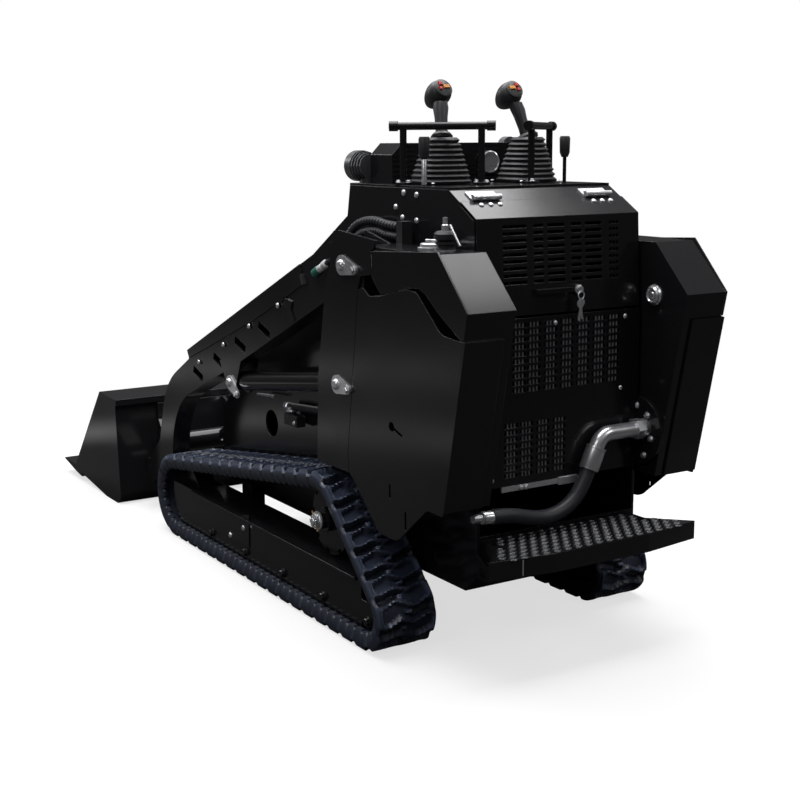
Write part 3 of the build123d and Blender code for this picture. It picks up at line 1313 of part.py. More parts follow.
# T-bars to hold on to: a rail across two posts, with a cap at each end.
bar_run = hypot(BAR_POSTS[1][0] - BAR_POSTS[0][0], BAR_POSTS[1][1] - BAR_POSTS[0][1])
bar_dir = tuple((far - near) / bar_run for near, far in zip(*BAR_POSTS))
with BuildPart() as hand_bar:
    with BuildSketch(Plane.XY.offset(DECK_TOP_Z)):
        with Locations(*BAR_POSTS):
            Circle(POST_RADIUS)
    extrude(amount=BAR_Z - DECK_TOP_Z)
    with BuildSketch(Plane.XY.offset(DECK_TOP_Z)):
        with Locations(*BAR_POSTS):
            RegularPolygon(POST_FLANGE, 8)
    extrude(amount=POST_FLANGE_HEIGHT)
    for start, length, radius in (
        (-BAR_OVERHANG, bar_run + 2 * BAR_OVERHANG, BAR_RADIUS),
        (-BAR_OVERHANG, BAR_CAP_LENGTH, BAR_CAP_RADIUS),
        (bar_run + BAR_OVERHANG - BAR_CAP_LENGTH, BAR_CAP_LENGTH, BAR_CAP_RADIUS),
    ):
        with BuildSketch(
            Plane(
                origin=(
                    BAR_POSTS[0][0] + bar_dir[0] * start,
                    BAR_POSTS[0][1] + bar_dir[1] * start,
                    BAR_Z,
                ),
                z_dir=(bar_dir[0], bar_dir[1], 0),
            )
        ):
            Circle(radius)
        extrude(amount=length)
left_side["hand_bar"] = hand_bar

with BuildPart() as console:
    with BuildSketch(Plane.YZ.offset(CONSOLE_REAR_X)):
        Polygon(
            (-CONSOLE_HALF_WIDTH, DECK_TOP_Z),
            (CONSOLE_HALF_WIDTH, DECK_TOP_Z),
            (CONSOLE_HALF_WIDTH, DECK_TOP_Z + CONSOLE_HEIGHT - CONSOLE_CHAMFER),
            (CONSOLE_HALF_WIDTH - CONSOLE_CHAMFER, DECK_TOP_Z + CONSOLE_HEIGHT),
            (CONSOLE_CHAMFER - CONSOLE_HALF_WIDTH, DECK_TOP_Z + CONSOLE_HEIGHT),
            (-CONSOLE_HALF_WIDTH, DECK_TOP_Z + CONSOLE_HEIGHT - CONSOLE_CHAMFER),
            align=None,
        )
    extrude(amount=CONSOLE_FRONT_X - CONSOLE_REAR_X)
    with BuildSketch(Plane.YZ.offset(CONSOLE_REAR_X)):
        with Locations((GAUGE_Y, GAUGE_Z)):
            RegularPolygon(GAUGE_RADIUS, 6)
    extrude(amount=-GAUGE_DEPTH)
on_centre["console"] = console

with BuildPart() as side_levers:
    for radius, foot_z, length in (
        (LEVER_ROD, DECK_TOP_Z, LEVER_HEIGHT - LEVER_GRIP_LENGTH),
        (LEVER_GRIP, DECK_TOP_Z + LEVER_HEIGHT - LEVER_GRIP_LENGTH, LEVER_GRIP_LENGTH),
    ):
        with BuildSketch(Plane.XY.offset(foot_z)):
            with Locations(*LEVER_PLACES):
                RegularPolygon(radius, 8)
        extrude(amount=length)
on_centre["side_levers"] = side_levers

# Round lamps look forward over the console; a finned one stands at the deck's corner.
with BuildPart() as work_lamps:
    for y, z, radius in LAMPS:
        with BuildSketch(Plane.YZ.offset(LAMP_X - LAMP_DEPTH)):
            with Locations((y, z)):
                Circle(radius)
        extrude(amount=LAMP_DEPTH)
        with BuildSketch(Plane.YZ.offset(LAMP_X - LAMP_DEPTH)):
            with Locations((y, (z + DECK_TOP_Z) / 2)):
                Rectangle(radius, z - DECK_TOP_Z)
        extrude(amount=LAMP_DEPTH / 2)
    spot_x, spot_y, spot_z = SPOT_PLACE
    with BuildSketch(Plane.YZ.offset(spot_x)):
        with Locations((spot_y, spot_z)):
            Circle(SPOT_RADIUS)
    extrude(amount=SPOT_DEPTH)
    with BuildSketch(Plane.YZ.offset(spot_x)):
        with Locations((spot_y, spot_z)):
            Circle(SPOT_RADIUS / 3)
        with Locations((spot_y, (spot_z + DECK_TOP_Z) / 2)):
            Rectangle(SPOT_RADIUS / 2, spot_z - DECK_TOP_Z)
    extrude(amount=-SPOT_FINS * SPOT_FIN_PITCH)
    for number in range(SPOT_FINS):
        fin_x = spot_x - (number + 1) * SPOT_FIN_PITCH
        with BuildSketch(Plane.YZ.offset(fin_x)):
            with Locations((spot_y, spot_z)):
                RegularPolygon(SPOT_RADIUS - 3 * number, 12)
        extrude(amount=SPOT_FIN)
on_centre["work_lamps"] = work_lamps

# ================================================================= writing out
for name, piece in left_side.items():
    with BuildPart() as other_side:
        mirror(piece.part, about=Plane.XZ)
    piece.part.label = name + "_left"
    other_side.part.label = name + "_right"
    export_step(piece.part, "parts/" + name + "_left.step")
    export_step(other_side.part, "parts/" + name + "_right.step")
for name, piece in on_centre.items():
    piece.part.label = name
    export_step(piece.part, "parts/" + name + ".step")
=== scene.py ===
"""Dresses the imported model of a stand-on compact track loader and lights it in a studio."""
import json
import math

import bpy
import numpy as np
from mathutils import Euler, Matrix, Vector


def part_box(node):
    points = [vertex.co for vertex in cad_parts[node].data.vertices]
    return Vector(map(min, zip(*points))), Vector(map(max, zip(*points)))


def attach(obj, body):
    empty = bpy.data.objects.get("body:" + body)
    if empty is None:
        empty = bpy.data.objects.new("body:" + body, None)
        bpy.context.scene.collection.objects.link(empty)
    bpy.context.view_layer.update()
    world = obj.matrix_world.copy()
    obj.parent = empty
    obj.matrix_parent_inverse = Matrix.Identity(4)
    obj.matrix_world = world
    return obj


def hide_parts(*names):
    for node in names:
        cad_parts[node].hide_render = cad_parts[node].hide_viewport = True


bl_info = {
    "name": "Compact track loader",
    "version": (1, 0, 0),
    "blender": (4, 5, 0),
    "location": "View3D > Sidebar > Loader",
    "description": "Dresses the packed compact track loader and lights it in a studio",
    "category": "Object",
}

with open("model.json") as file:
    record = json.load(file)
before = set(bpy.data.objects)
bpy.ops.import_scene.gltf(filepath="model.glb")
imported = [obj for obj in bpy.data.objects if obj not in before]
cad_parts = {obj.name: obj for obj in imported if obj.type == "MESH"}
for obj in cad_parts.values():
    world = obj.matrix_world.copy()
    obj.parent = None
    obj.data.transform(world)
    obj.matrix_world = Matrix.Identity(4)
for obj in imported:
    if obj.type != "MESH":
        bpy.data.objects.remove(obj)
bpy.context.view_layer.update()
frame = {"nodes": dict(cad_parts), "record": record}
NODES = frame["nodes"]
SIDES = (1, -1)            # left, right


# ------------------------------------------------------------------ properties
def colour(name, description, default):
    """A colour setting."""
    return bpy.props.FloatVectorProperty(
        name=name, description=description, subtype="COLOR", default=default)


def amount(name, description, default, **limits):
    """A plain number setting."""
    return bpy.props.FloatProperty(name=name, description=description, default=default, **limits)


def length(name, description, default):
    """A length setting, in metres."""
    return amount(name, description, default, unit="LENGTH", precision=4)


class LoaderFinishes(bpy.types.PropertyGroup):
    """Colours and gloss of the loader's finishes."""

    paint: colour("Paint", "Black powder coat", (0.0085, 0.0086, 0.0097))
    paint_roughness: amount(
        "Paint roughness", "Roughness of the powder coat", 0.15, min=0.0, max=1.0, subtype="FACTOR")
    edge_radius: length("Edge radius", "How round the plates' edges look", 0.0022)
    rubber: colour("Track rubber", "Dark bluish rubber of the tracks", (0.016, 0.0205, 0.034))
    zinc: colour("Zinc", "Bright zinc plate of bolts, pins and hinges", (0.72, 0.73, 0.75))


class LoaderStudio(bpy.types.PropertyGroup):
    """Camera and light."""

    lens: amount("Lens", "Focal length on a 36 mm sensor, in millimetres", 60.94)
    backdrop: colour("Backdrop", "Colour that the camera sees behind the loader", (1.0, 1.0, 1.0))
    key_power: amount("Key light", "Power of the overhead softbox, in watts", 470.0)
    dark: amount("Low surround", "Light from the horizon, but for the camera", 0.05)
    sky: amount("High surround", "Light from above, but for the camera", 0.3)
    floor_bounce: amount("Floor bounce", "How light the floor is, but for the camera", 0.05)
    band: amount("Light band", "Lit ring of floor that upright plates mirror", 0.7)
    shadow: amount("Shadow", "How strong the shadow on the floor is", 0.32, min=0.0, max=1.0)


# ------------------------------------------------------------------- materials
def new_material(name):
    """An empty node material with its Principled shader."""
    material = bpy.data.materials.new(name)
    material.use_nodes = True
    shader = material.node_tree.nodes["Principled BSDF"]
    return material, material.node_tree, shader


def node(tree, kind, settings=None, **sockets):
    """A node with its settings, and its sockets by name, spaces written as underscores."""
    made = tree.nodes.new(kind)
    for key, value in (settings or {}).items():
        setattr(made, key, value)
    for key, value in sockets.items():
        made.inputs[key.replace("_", " ")].default_value = value
    return made


def wire(tree, *runs):
    """Joins nodes; each run is (source, output, target, input)."""
    for source, output, target, socket in runs:
        tree.links.new(source.outputs[output], target.inputs[socket])


def noise_on_object(tree, scale, detail=4.0, roughness=0.55):
    """Noise over the piece's own coordinates."""
    place = node(tree, "ShaderNodeTexCoord")
    noise = node(tree, "ShaderNodeTexNoise", Scale=scale, Detail=detail, Roughness=roughness)
    wire(tree, (place, "Object", noise, "Vector"))
    return noise


def uneven_gloss(tree, shader, cloud, low, high):
    """Roughness from low to high over the middle of a cloud's range."""
    spread = node(
        tree, "ShaderNodeMapRange", From_Min=0.3, From_Max=0.7, To_Min=low, To_Max=high,
    )
    wire(tree, (cloud, "Fac", spread, "Value"), (spread, "Result", shader, "Roughness"))


def bump_from(tree, shader, grain, strength, distance):
    """Puts a grain's height on the shader's normal."""
    bump = node(tree, "ShaderNodeBump", Strength=strength, Distance=distance)
    wire(tree, (grain, "Fac", bump, "Height"), (bump, "Normal", shader, "Normal"))
    return bump


def mottled(tree, shader, cloud, colour, darker, lighter):
    """Base colour between two shades of one colour by a cloud."""
    base = np.array(colour)
    mix = node(
        tree, "ShaderNodeMix", {"data_type": "RGBA"},
        A=(*(base * darker), 1), B=(*np.minimum(base * lighter, 1), 1),
    )
    wire(tree, (cloud, "Fac", mix, "Factor"), (mix, "Result", shader, "Base Color"))
    return mix


def powder_coat(finishes):
    """Satin black powder coat: faint orange peel, slightly uneven gloss, rounded edges."""
    material, tree, shader = new_material("black_powder_coat")
    cloud = noise_on_object(tree, 3.0)
    mottled(tree, shader, cloud, finishes.paint, 0.85, 1.2)
    gloss = finishes.paint_roughness
    uneven_gloss(tree, shader, cloud, gloss - 0.03, gloss + 0.04)
    bump = bump_from(tree, shader, noise_on_object(tree, 520.0, detail=2.0), 0.05, 0.0005)
    rounded = node(tree, "ShaderNodeBevel", {"samples": 4}, Radius=finishes.edge_radius)
    wire(tree, (rounded, "Normal", bump, "Normal"))
    shader.inputs["Specular IOR Level"].default_value = 0.36
    return material


def track_rubber(finishes):
    """Moulded dark rubber with a bluish bloom, lighter by a layer over the belt: abrasion on the
    lugs' rims and tops, together with painted highlights there.
    """
    material, tree, shader = new_material("track_rubber")
    cloud = noise_on_object(tree, 14.0, detail=6.0)
    fresh = mottled(tree, shader, cloud, finishes.rubber, 0.75, 1.35)
    uneven_gloss(tree, shader, cloud, 0.34, 0.5)
    bump_from(tree, shader, noise_on_object(tree, 260.0, detail=3.0), 0.12, 0.0008)
    # This layer lightens the rubber: abrasion together with painted highlights on the rims and
    # tops.
    wear_and_highlight = node(tree, "ShaderNodeAttribute", {"attribute_name": "painted_wear_and_highlight"})
    lighter = node(
        tree, "ShaderNodeMix", {"data_type": "RGBA"}, B=(*(np.array(finishes.rubber) * 5.5), 1),
    )
    wire(tree, (fresh, "Result", lighter, "A"), (wear_and_highlight, "Fac", lighter, "Factor"),
         (lighter, "Result", shader, "Base Color"))
    return material


def bright_metal(name, colour, low, high, scale, metallic):
    """Plated or ground steel with faint smears."""
    material, tree, shader = new_material(name)
    cloud = noise_on_object(tree, scale)
    mottled(tree, shader, cloud, colour, 0.88, 1.08)
    uneven_gloss(tree, shader, cloud, low, high)
    shader.inputs["Metallic"].default_value = metallic
    return material


def moulded(name, colour, low, high, grain_scale, grain_depth):
    """Rubber, plastic or rough iron with a fine grain."""
    material, tree, shader = new_material(name)
    cloud = noise_on_object(tree, 22.0)
    mottled(tree, shader, cloud, colour, 0.8, 1.25)
    uneven_gloss(tree, shader, cloud, low, high)
    grain = noise_on_object(tree, grain_scale, detail=2.0)
    bump_from(tree, shader, grain, grain_depth, 0.0005)
    return material


FINISHES = {}
LOOKS = (                  # finish, maker, material, colour, roughness, scale, metallic or grain
    ("rod_chrome", bright_metal, "rod_chrome", (0.78, 0.79, 0.8), 0.06, 0.12, 30.0, 1.0),
    ("bare_steel", bright_metal, "turned_steel", (0.72, 0.73, 0.75), 0.27, 0.35, 12.0, 0.9),
    ("engine_iron", moulded, "engine_iron", (0.06, 0.06, 0.06), 0.5, 0.7, 120.0, 0.2),
    ("boot_rubber", moulded, "boot_rubber", (0.016, 0.017, 0.019), 0.4, 0.55, 300.0, 0.1),
    ("hose_rubber", moulded, "hose_rubber", (0.022, 0.024, 0.03), 0.38, 0.5, 400.0, 0.1),
    ("lamp_shell", moulded, "lamp_shell", (0.05, 0.052, 0.056), 0.3, 0.42, 400.0, 0.05),
    ("worn_tread", bright_metal, "worn_tread", (0.12, 0.124, 0.13), 0.25, 0.4, 90.0, 0.8),
    # Light grey of the painted light seen through the rear vents' perforations.
    ("vent_slot_light", bright_metal, "vent_slot_light", (0.17, 0.175, 0.185), 0.4, 0.5, 90.0, 0.3),
    ("copper_pin", bright_metal, "copper_pin", (0.62, 0.4, 0.22), 0.25, 0.35, 90.0, 0.7),
    # Near-black and later without specular: a painted shade for the dark inside of the guards'
    # slots.
    ("painted_slot_shade", moulded, "painted_slot_shade", (0.0012, 0.0012, 0.0014), 0.8, 0.9, 300.0, 0.02),
    ("red_button", moulded, "red_button", (0.45, 0.02, 0.012), 0.3, 0.42, 500.0, 0.03),
    ("amber_button", moulded, "amber_button", (0.6, 0.22, 0.02), 0.3, 0.42, 500.0, 0.03),
    ("green_cap", moulded, "green_cap", (0.01, 0.12, 0.09), 0.35, 0.47, 500.0, 0.03),
    ("white_cap", moulded, "white_cap", (0.6, 0.62, 0.62), 0.35, 0.47, 500.0, 0.03),
)
REFINISHED = {"hatch_latch": "black_paint", "hose_fittings": "boot_rubber"}


class LOADER_OT_finishes(bpy.types.Operator):
    """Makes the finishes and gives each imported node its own"""

    bl_idname = "loader.finishes"
    bl_label = "Finishes"

    def execute(self, context):
        finishes = context.scene.loader_finishes
        FINISHES["black_paint"] = powder_coat(finishes)
        FINISHES["track_rubber"] = track_rubber(finishes)
        FINISHES["zinc_steel"] = bright_metal("bright_zinc", finishes.zinc, 0.24, 0.32, 9.0, 0.8)
        for finish, maker, *look in LOOKS:
            FINISHES[finish] = maker(*look)
        # No specular on the painted slot shade, so that it stays black.
        shade = FINISHES["painted_slot_shade"].node_tree.nodes["Principled BSDF"]
        shade.inputs["Specular IOR Level"].default_value = 0.0
        for part in frame["record"]["subparts"]:
            slots = NODES[part["node"]].data.materials
            finish = FINISHES[REFINISHED.get(part["node"], part["material_slot"])]
            if len(slots):
                slots[0] = finish
            else:
                slots.append(finish)
        return {"FINISHED"}


# ---------------------------------------------------------------------- shapes
def grid_faces(rows, columns, wrap_rows=False, wrap_columns=False):
    """Quads over a grid of points stored row by row."""
    i = np.arange(rows if wrap_rows else rows - 1)[:, None]
    j = np.arange(columns if wrap_columns else columns - 1)[None, :]
    down, across = (i + 1) % rows, (j + 1) % columns
    corners = (i * columns + j, i * columns + across, down * columns + across, down * columns + j)
    return np.stack(np.broadcast_arrays(*corners), -1).reshape(-1, 4).tolist()


def lathe(profile, sides):
    """A solid of revolution about Z through (radius, height) points, closed at both ends."""
    radius, height = np.array(profile, float).T
    angle = np.arange(sides) * 2 * np.pi / sides
    points = np.stack([
        radius[:, None] * np.cos(angle), radius[:, None] * np.sin(angle),
        np.broadcast_to(height[:, None], (len(radius), sides)),
    ], -1).reshape(-1, 3)
    faces = grid_faces(len(radius), sides, wrap_columns=True)
    faces.append(list(range(sides))[::-1])
    faces.append(list(range(len(points) - sides, len(points))))
    return points, faces


def block(size, centre=(0, 0, 0), bevel=0.0):
    """A box with its top edges drawn in by the bevel."""
    half = np.array(size) / 2
    points = []
    for height, trim in ((-half[2], 0), (half[2] - bevel, 0), (half[2], bevel)):
        x, y = half[0] - trim, half[1] - trim
        points += [(-x, -y, height), (x, -y, height), (x, y, height), (-x, y, height)]
    faces = grid_faces(3, 4, wrap_columns=True) + [[3, 2, 1, 0], [8, 9, 10, 11]]
    return np.array(points) + centre, faces


def turned_to(shape, place, direction, roll=0.0):
    """A shape moved to a place with its Z along a direction."""
    points, faces = shape
    turn = Vector(direction).to_track_quat("Z", "Y").to_matrix() @ Matrix.Rotation(roll, 3, "Z")
    return points @ np.array(turn).T + np.array(place), faces


def spun(profile, sides, place, direction):
    """A lathe's solid moved to a place with its Z along a direction."""
    return turned_to(lathe(profile, sides), place, direction)


def joined(shapes):
    """Several shapes as one list of points and faces."""
    points, faces, count = [], [], 0
    for shape_points, shape_faces in shapes:
        points.append(shape_points)
        faces += [[corner + count for corner in face] for face in shape_faces]
        count += len(shape_points)
    return np.concatenate(points), faces


def linked(name, data):
    """An object of some data, put in the scene."""
    made = bpy.data.objects.new(name, data)
    bpy.context.collection.objects.link(made)
    return made


def add_piece(name, shape, finish, body, smooth=35.0):
    """A finished mesh riding on a body, smooth below an angle; its one slot holds its finish."""
    mesh = bpy.data.meshes.new(name)
    mesh.from_pydata(shape[0].tolist(), [], shape[1])
    mesh.validate()
    made = linked(name, mesh)
    mesh.materials.append(FINISHES[finish])
    if smooth:
        mesh.shade_smooth()
        mesh.set_sharp_from_angle(angle=math.radians(smooth))
    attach(made, body)
    return made


def flat_plate(outline, low, high):
    """A plate on an (x, z) outline between two values of y."""
    outline = np.array(outline)
    count = len(outline)
    layers = [np.stack([outline[:, 0], np.full(count, y), outline[:, 1]], -1) for y in (low, high)]
    faces = grid_faces(2, count, wrap_columns=True)
    faces += [list(range(count))[::-1], list(range(count, 2 * count))]
    return np.concatenate(layers), faces


def both_plates(outline, face, sunk, proud):
    """A plate on each side of the machine, from sunk behind a face to proud of it."""
    return [flat_plate(outline, side * (face - sunk), side * (face + proud)) for side in SIDES]


def hex_bolt(radius):
    """A hexagon head on its washer, standing on Z = 0."""
    washer = lathe([(1.3, 0), (1.3, 0.2), (1.2, 0.28)], 20)
    head = lathe([(1.0, 0.26), (1.0, 0.85), (0.86, 1.0)], 6)
    points, faces = joined((washer, head))
    return points * radius, faces


def dome_bolt(radius):
    """A round-headed bolt."""
    profile = np.array([(1, 0), (0.98, 0.2), (0.85, 0.42), (0.6, 0.58), (0.3, 0.65)])
    return lathe(profile * radius, 16)


def smooth_hose(route, radius, replaces):
    """A hose on one NURBS line with its route as control points, in place of a packed hose."""
    name = "smooth_" + replaces
    curve = bpy.data.curves.new(name, "CURVE")
    curve.dimensions = "3D"
    line = curve.splines.new("NURBS")
    line.points.add(len(route) - 1)
    for point, place in zip(line.points, route):
        point.co = (*place, 1)
    line.order_u = 3
    line.use_endpoint_u = True
    line.resolution_u = 10
    curve.bevel_depth = radius
    curve.bevel_resolution = 6
    curve.use_fill_caps = True
    made = linked(name, curve)
    curve.materials.append(FINISHES["hose_rubber"])
    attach(made, "chassis")
    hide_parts(replaces)
    return made


# ---------------------------------------------------------------------- tracks
class TrackShape(bpy.types.PropertyGroup):
    """Sizes of the rubber tracks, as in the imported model."""

    pitch_count: bpy.props.IntProperty(name="Lugs", description="Lugs in each row", default=44)
    carcass: length("Carcass", "Rubber without lugs", 0.018)
    lug: length("Lug", "Height of the lugs", 0.022)
    cup: length("Cup", "Depth of the cup in each lug", 0.015)
    step: length("Step", "Size of the surface's steps", 0.0042)


BELT_WHEELS = (            # x, z, radius: rear idler, front idler, sprocket
    (-0.958, 0.092, 0.052),
    (0.287, 0.138, 0.098),
    (-0.697, 0.284, 0.100),
)


def belt_line(step, spread):
    """Stations round the hull of the wheels: place on the wheels' line, outward normal, way along.

    Between wheels the normal stands still; on a wheel it turns with the angle. The way along is
    measured at the spread, so that the lugs are even on the belt's outside.
    """
    wheels = [np.array(wheel) for wheel in BELT_WHEELS]
    leave = []
    for here, there in zip(wheels, wheels[1:] + wheels[:1]):
        gap = there[:2] - here[:2]
        lean = math.asin((here[2] - there[2]) / np.hypot(*gap))
        leave.append(math.atan2(gap[1], gap[0]) - math.pi / 2 + lean)
    places, normals, way, total = [], [], [], 0.0
    for number, wheel in enumerate(wheels):
        start, end = leave[number - 1], leave[number]
        end += 2 * math.pi * math.ceil((start - end) / (2 * math.pi))
        reach = wheel[2] + spread
        count = max(3, int(reach * (end - start) / step))
        angle = np.linspace(start, end, count)
        normal = np.stack([np.cos(angle), np.sin(angle)], -1)
        places.append(wheel[:2] + wheel[2] * normal)
        normals.append(normal)
        way.append(total + reach * (angle - start))
        total += reach * (end - start)
        there = wheels[(number + 1) % len(wheels)]
        last = wheel[:2] + wheel[2] * normal[-1]
        gap = there[:2] + there[2] * normal[-1] - last
        run = np.hypot(*gap)
        share = np.linspace(0, 1, max(3, int(run / step)))[1:-1]
        places.append(last + share[:, None] * gap)
        normals.append(np.repeat(normal[-1:], len(share), 0))
        way.append(total + share * run)
        total += run
    return np.concatenate(places), np.concatenate(normals), np.concatenate(way), total


def ramp(value, low, high):
    """Smooth step from 0 to 1 between two values."""
    share = np.clip((value - low) / (high - low), 0, 1)
    return share * share * (3 - 2 * share)


def lug_height(way, across, pitch, half_width, shape):
    """Height of the tread over the carcass, and how much lighter it is painted: abrasion together
    with painted highlights.

    Each half of the belt has its own row, half a pitch apart. A lug is a bar whose sides wave as
    they run in; it holds a deep cup that is open towards the middle of the belt. A ribbed band
    joins the lugs along the belt's edge, and small blocks stand along the middle.
    """
    outer = across > 0
    along = (way / pitch + np.where(outer, 0.0, 0.5)) % 1.0 - 0.5
    along = along * pitch
    edge = half_width - np.abs(across)
    bend = 0.005 * np.sin(edge / half_width * 2 * np.pi) * np.where(outer, 1, -1)
    off = np.abs(along - bend)
    bar = 1 - ramp(off, 0.0235, 0.0295)
    oval = (off / 0.0180) ** 3 + (np.abs(edge - 0.043) / 0.030) ** 3
    throat = (1 - ramp(off, 0.009, 0.013)) * ramp(edge, 0.050, 0.056)
    cup = np.maximum(1 - ramp(oval, 0.72, 1.1), throat)
    height = shape.lug * bar - shape.cup * cup * bar
    rib = 0.5 + 0.5 * np.cos(along * 2 * np.pi / 0.0085)
    ribbed = 0.50 + 0.05 * rib * ramp(edge, 0.003, 0.007)
    band = shape.lug * ribbed * (1 - ramp(edge, 0.011, 0.015))
    between = np.abs(np.abs(along) - pitch / 2)
    inner = ramp(edge, half_width - 0.020, half_width - 0.016)
    blocks = 0.016 * (1 - ramp(between, 0.005, 0.007)) * inner
    height = np.maximum(height * ramp(edge, -0.004, 0.010), band * ramp(edge, -0.003, 0.003))
    height = np.maximum(height, blocks)
    # Lighter on the lugs' rims, the cups' edges, the belt's lip, the blocks' tops and a little in
    # the cups: abrasion there, together with painted highlights where light catches the rubber.
    crest = ramp(height, shape.lug * 0.80, shape.lug * 0.97)
    rim = crest * ramp(off, 0.014, 0.018) * (1 - ramp(off, 0.020, 0.024))
    arch = (1 - ramp(np.abs(oval - 1.12), 0.10, 0.32)) * (edge < 0.050) * bar
    lip = 1 - ramp(np.abs(edge - 0.003), 0.001, 0.0035)
    tops = ramp(blocks, 0.0125, 0.0155)
    wear_and_highlight = 0.25 * rim + 0.9 * arch + 0.35 * lip + 0.9 * tops + 0.2 * cup * bar
    return height, np.clip(wear_and_highlight, 0, 1)


class LOADER_OT_tracks(bpy.types.Operator):
    """Moulds the two rubber tracks with their cupped lugs"""

    bl_idname = "loader.tracks"
    bl_label = "Tracks"

    def execute(self, context):
        shape = context.scene.track_shape
        places, normals, way, total = belt_line(shape.step, shape.carcass)
        pitch = total / shape.pitch_count
        for side in ("left", "right"):
            low, high = (np.array(corner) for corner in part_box("track_" + side))
            middle, half = (low[1] + high[1]) / 2, (high[1] - low[1]) / 2
            outward = 1 if side == "left" else -1
            across = np.linspace(-half, half, int(2 * half / shape.step) + 1)
            height, wear_and_highlight = lug_height(way[:, None], across[None, :], pitch, half, shape)
            lift = shape.carcass + height
            inside = np.linspace(half - 0.006, -half + 0.006, 31)
            rail = (np.abs(np.abs(inside) - 0.072) < 0.007)[None, :]
            notch = (np.abs((way / pitch * 2) % 1 - 0.5) < 0.36)[:, None]
            lift_inside = np.where(rail & notch, -0.009, np.where(rail, -0.004, 0.0))
            ring_lift = np.concatenate([lift, lift_inside], 1)
            ring_across = np.concatenate([across, inside]) * outward
            ring_wear_and_highlight = np.concatenate([wear_and_highlight, np.zeros_like(lift_inside)], 1)
            flat = places[:, None, :] + normals[:, None, :] * ring_lift[:, :, None]
            points = np.stack([
                flat[..., 0], np.broadcast_to(middle + ring_across, ring_lift.shape), flat[..., 1],
            ], -1)
            rows, columns = ring_lift.shape
            faces = grid_faces(rows, columns, wrap_rows=True, wrap_columns=True)
            if outward < 0:
                faces = [face[::-1] for face in faces]
            belt = add_piece(
                "rubber_track_" + side, (points.reshape(-1, 3), faces), "track_rubber",
                "chassis", smooth=48.0,
            )
            # This layer lightens the rubber: abrasion together with painted highlights.
            layer = belt.data.attributes.new("painted_wear_and_highlight", "FLOAT", "POINT")
            layer.data.foreach_set("value", ring_wear_and_highlight.reshape(-1))
            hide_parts("track_" + side)
        return {"FINISHED"}


# -------------------------------------------------------------------- fittings
ARM_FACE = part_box("arm_left")[1][1]             # outer faces on the left side
COVER_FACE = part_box("arm_cover_left")[1][1]
FLAG_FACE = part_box("tower_pins")[1][1]
EAR_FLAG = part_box("ear_pins")[1][1]
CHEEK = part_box("cowl")[1][1]
HUB_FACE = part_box("sprocket_left")[1][1]
POD_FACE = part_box("tank_pod_left")[1][1]
FRAME_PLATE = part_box("rollers_left")[1][1] + 0.008
SCREEN_FACE = FRAME_PLATE + 0.003               # of the plate laid on the track frame
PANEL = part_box("rear_panel")[0][0]
RAIL_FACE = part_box("rear_rail")[0][0]
LATCH_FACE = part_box("hatch_latch")[0][0]
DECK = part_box("control_deck")[1][2]
STEP_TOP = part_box("platform")[1][2]
POD_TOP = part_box("pod_caps")[0][2]
HATCH_SLOPE = math.radians(30.82)
HINGE_SEAM = (-1.11266, 0, 1.15336)
SPROCKET_X, SPROCKET_Z = BELT_WHEELS[2][:2]
UP, REARWARD = (0, 0, 1), (-1, 0, 0)

SIDE_BOLTS = (             # body, face, x, z, radius, kind
    ("chassis", FLAG_FACE, -0.870, 0.977, 0.009, "hex"),
    ("chassis", FLAG_FACE, -0.830, 0.663, 0.009, "hex"),
    ("chassis", FLAG_FACE, -0.804, 0.985, 0.015, "dome"),
    ("chassis", FLAG_FACE, -0.770, 0.669, 0.015, "dome"),
    ("boom", EAR_FLAG, -0.102, 0.535, 0.008, "hex"),
    ("boom", EAR_FLAG, -0.052, 0.565, 0.014, "dome"),
    ("boom", COVER_FACE, 0.179, 0.597, 0.008, "dome"),
    ("boom", COVER_FACE, -0.014, 0.678, 0.008, "dome"),
    ("boom", COVER_FACE, -0.200, 0.757, 0.008, "dome"),
    ("boom", COVER_FACE, -0.392, 0.838, 0.008, "dome"),
    ("chassis", CHEEK, -0.864, 1.167, 0.008, "dome"),
    ("chassis", CHEEK, -0.925, 1.163, 0.008, "dome"),
    ("chassis", CHEEK, -0.825, 1.129, 0.008, "dome"),
    ("chassis", CHEEK, -0.858, 1.103, 0.008, "dome"),
    ("chassis", CHEEK, -0.925, 1.098, 0.008, "dome"),
    ("chassis", SCREEN_FACE, -0.213, 0.144, 0.009, "dome"),
    ("chassis", SCREEN_FACE, -0.118, 0.098, 0.009, "dome"),
    ("chassis", FRAME_PLATE, -0.262, 0.160, 0.006, "dome"),
)
REAR_BOLTS = (             # y, z on the rear panel
    (0.023, 0.850), (-0.205, 0.850), (-0.195, 0.664), (0.215, 0.664), (0.215, 0.470),
)
COVER_BOLTS = (            # x, z of the bolts round the right pod's cover
    (-1.135, 0.593), (-1.197, 0.611), (-1.239, 0.590), (-1.255, 0.530), (-1.230, 0.482),
    (-1.168, 0.474), (-1.128, 0.510),
)
POD_PLUG = (               # ringed plug on the right pod's inner face
    (0.027, 0), (0.027, 0.003), (0.023, 0.006), (0.023, 0.009), (0.019, 0.013),
    (0.017, 0.013), (0.015, 0.010), (0.010, 0.010), (0.008, 0.013),
)
AXLE_BOLT_X = (-0.947, -0.708, -0.467, -0.222, 0.026)
AXLE_BOLT_Z = 0.070
SCREEN = ((-0.251, 0.193), (-0.107, 0.160), (-0.103, 0.096), (-0.118, 0.080), (-0.246, 0.089))
HOOK = (
    (-0.425, 0.866), (-0.478, 0.858), (-0.470, 0.834), (-0.490, 0.806), (-0.472, 0.800),
    (-0.452, 0.832), (-0.431, 0.842),
)
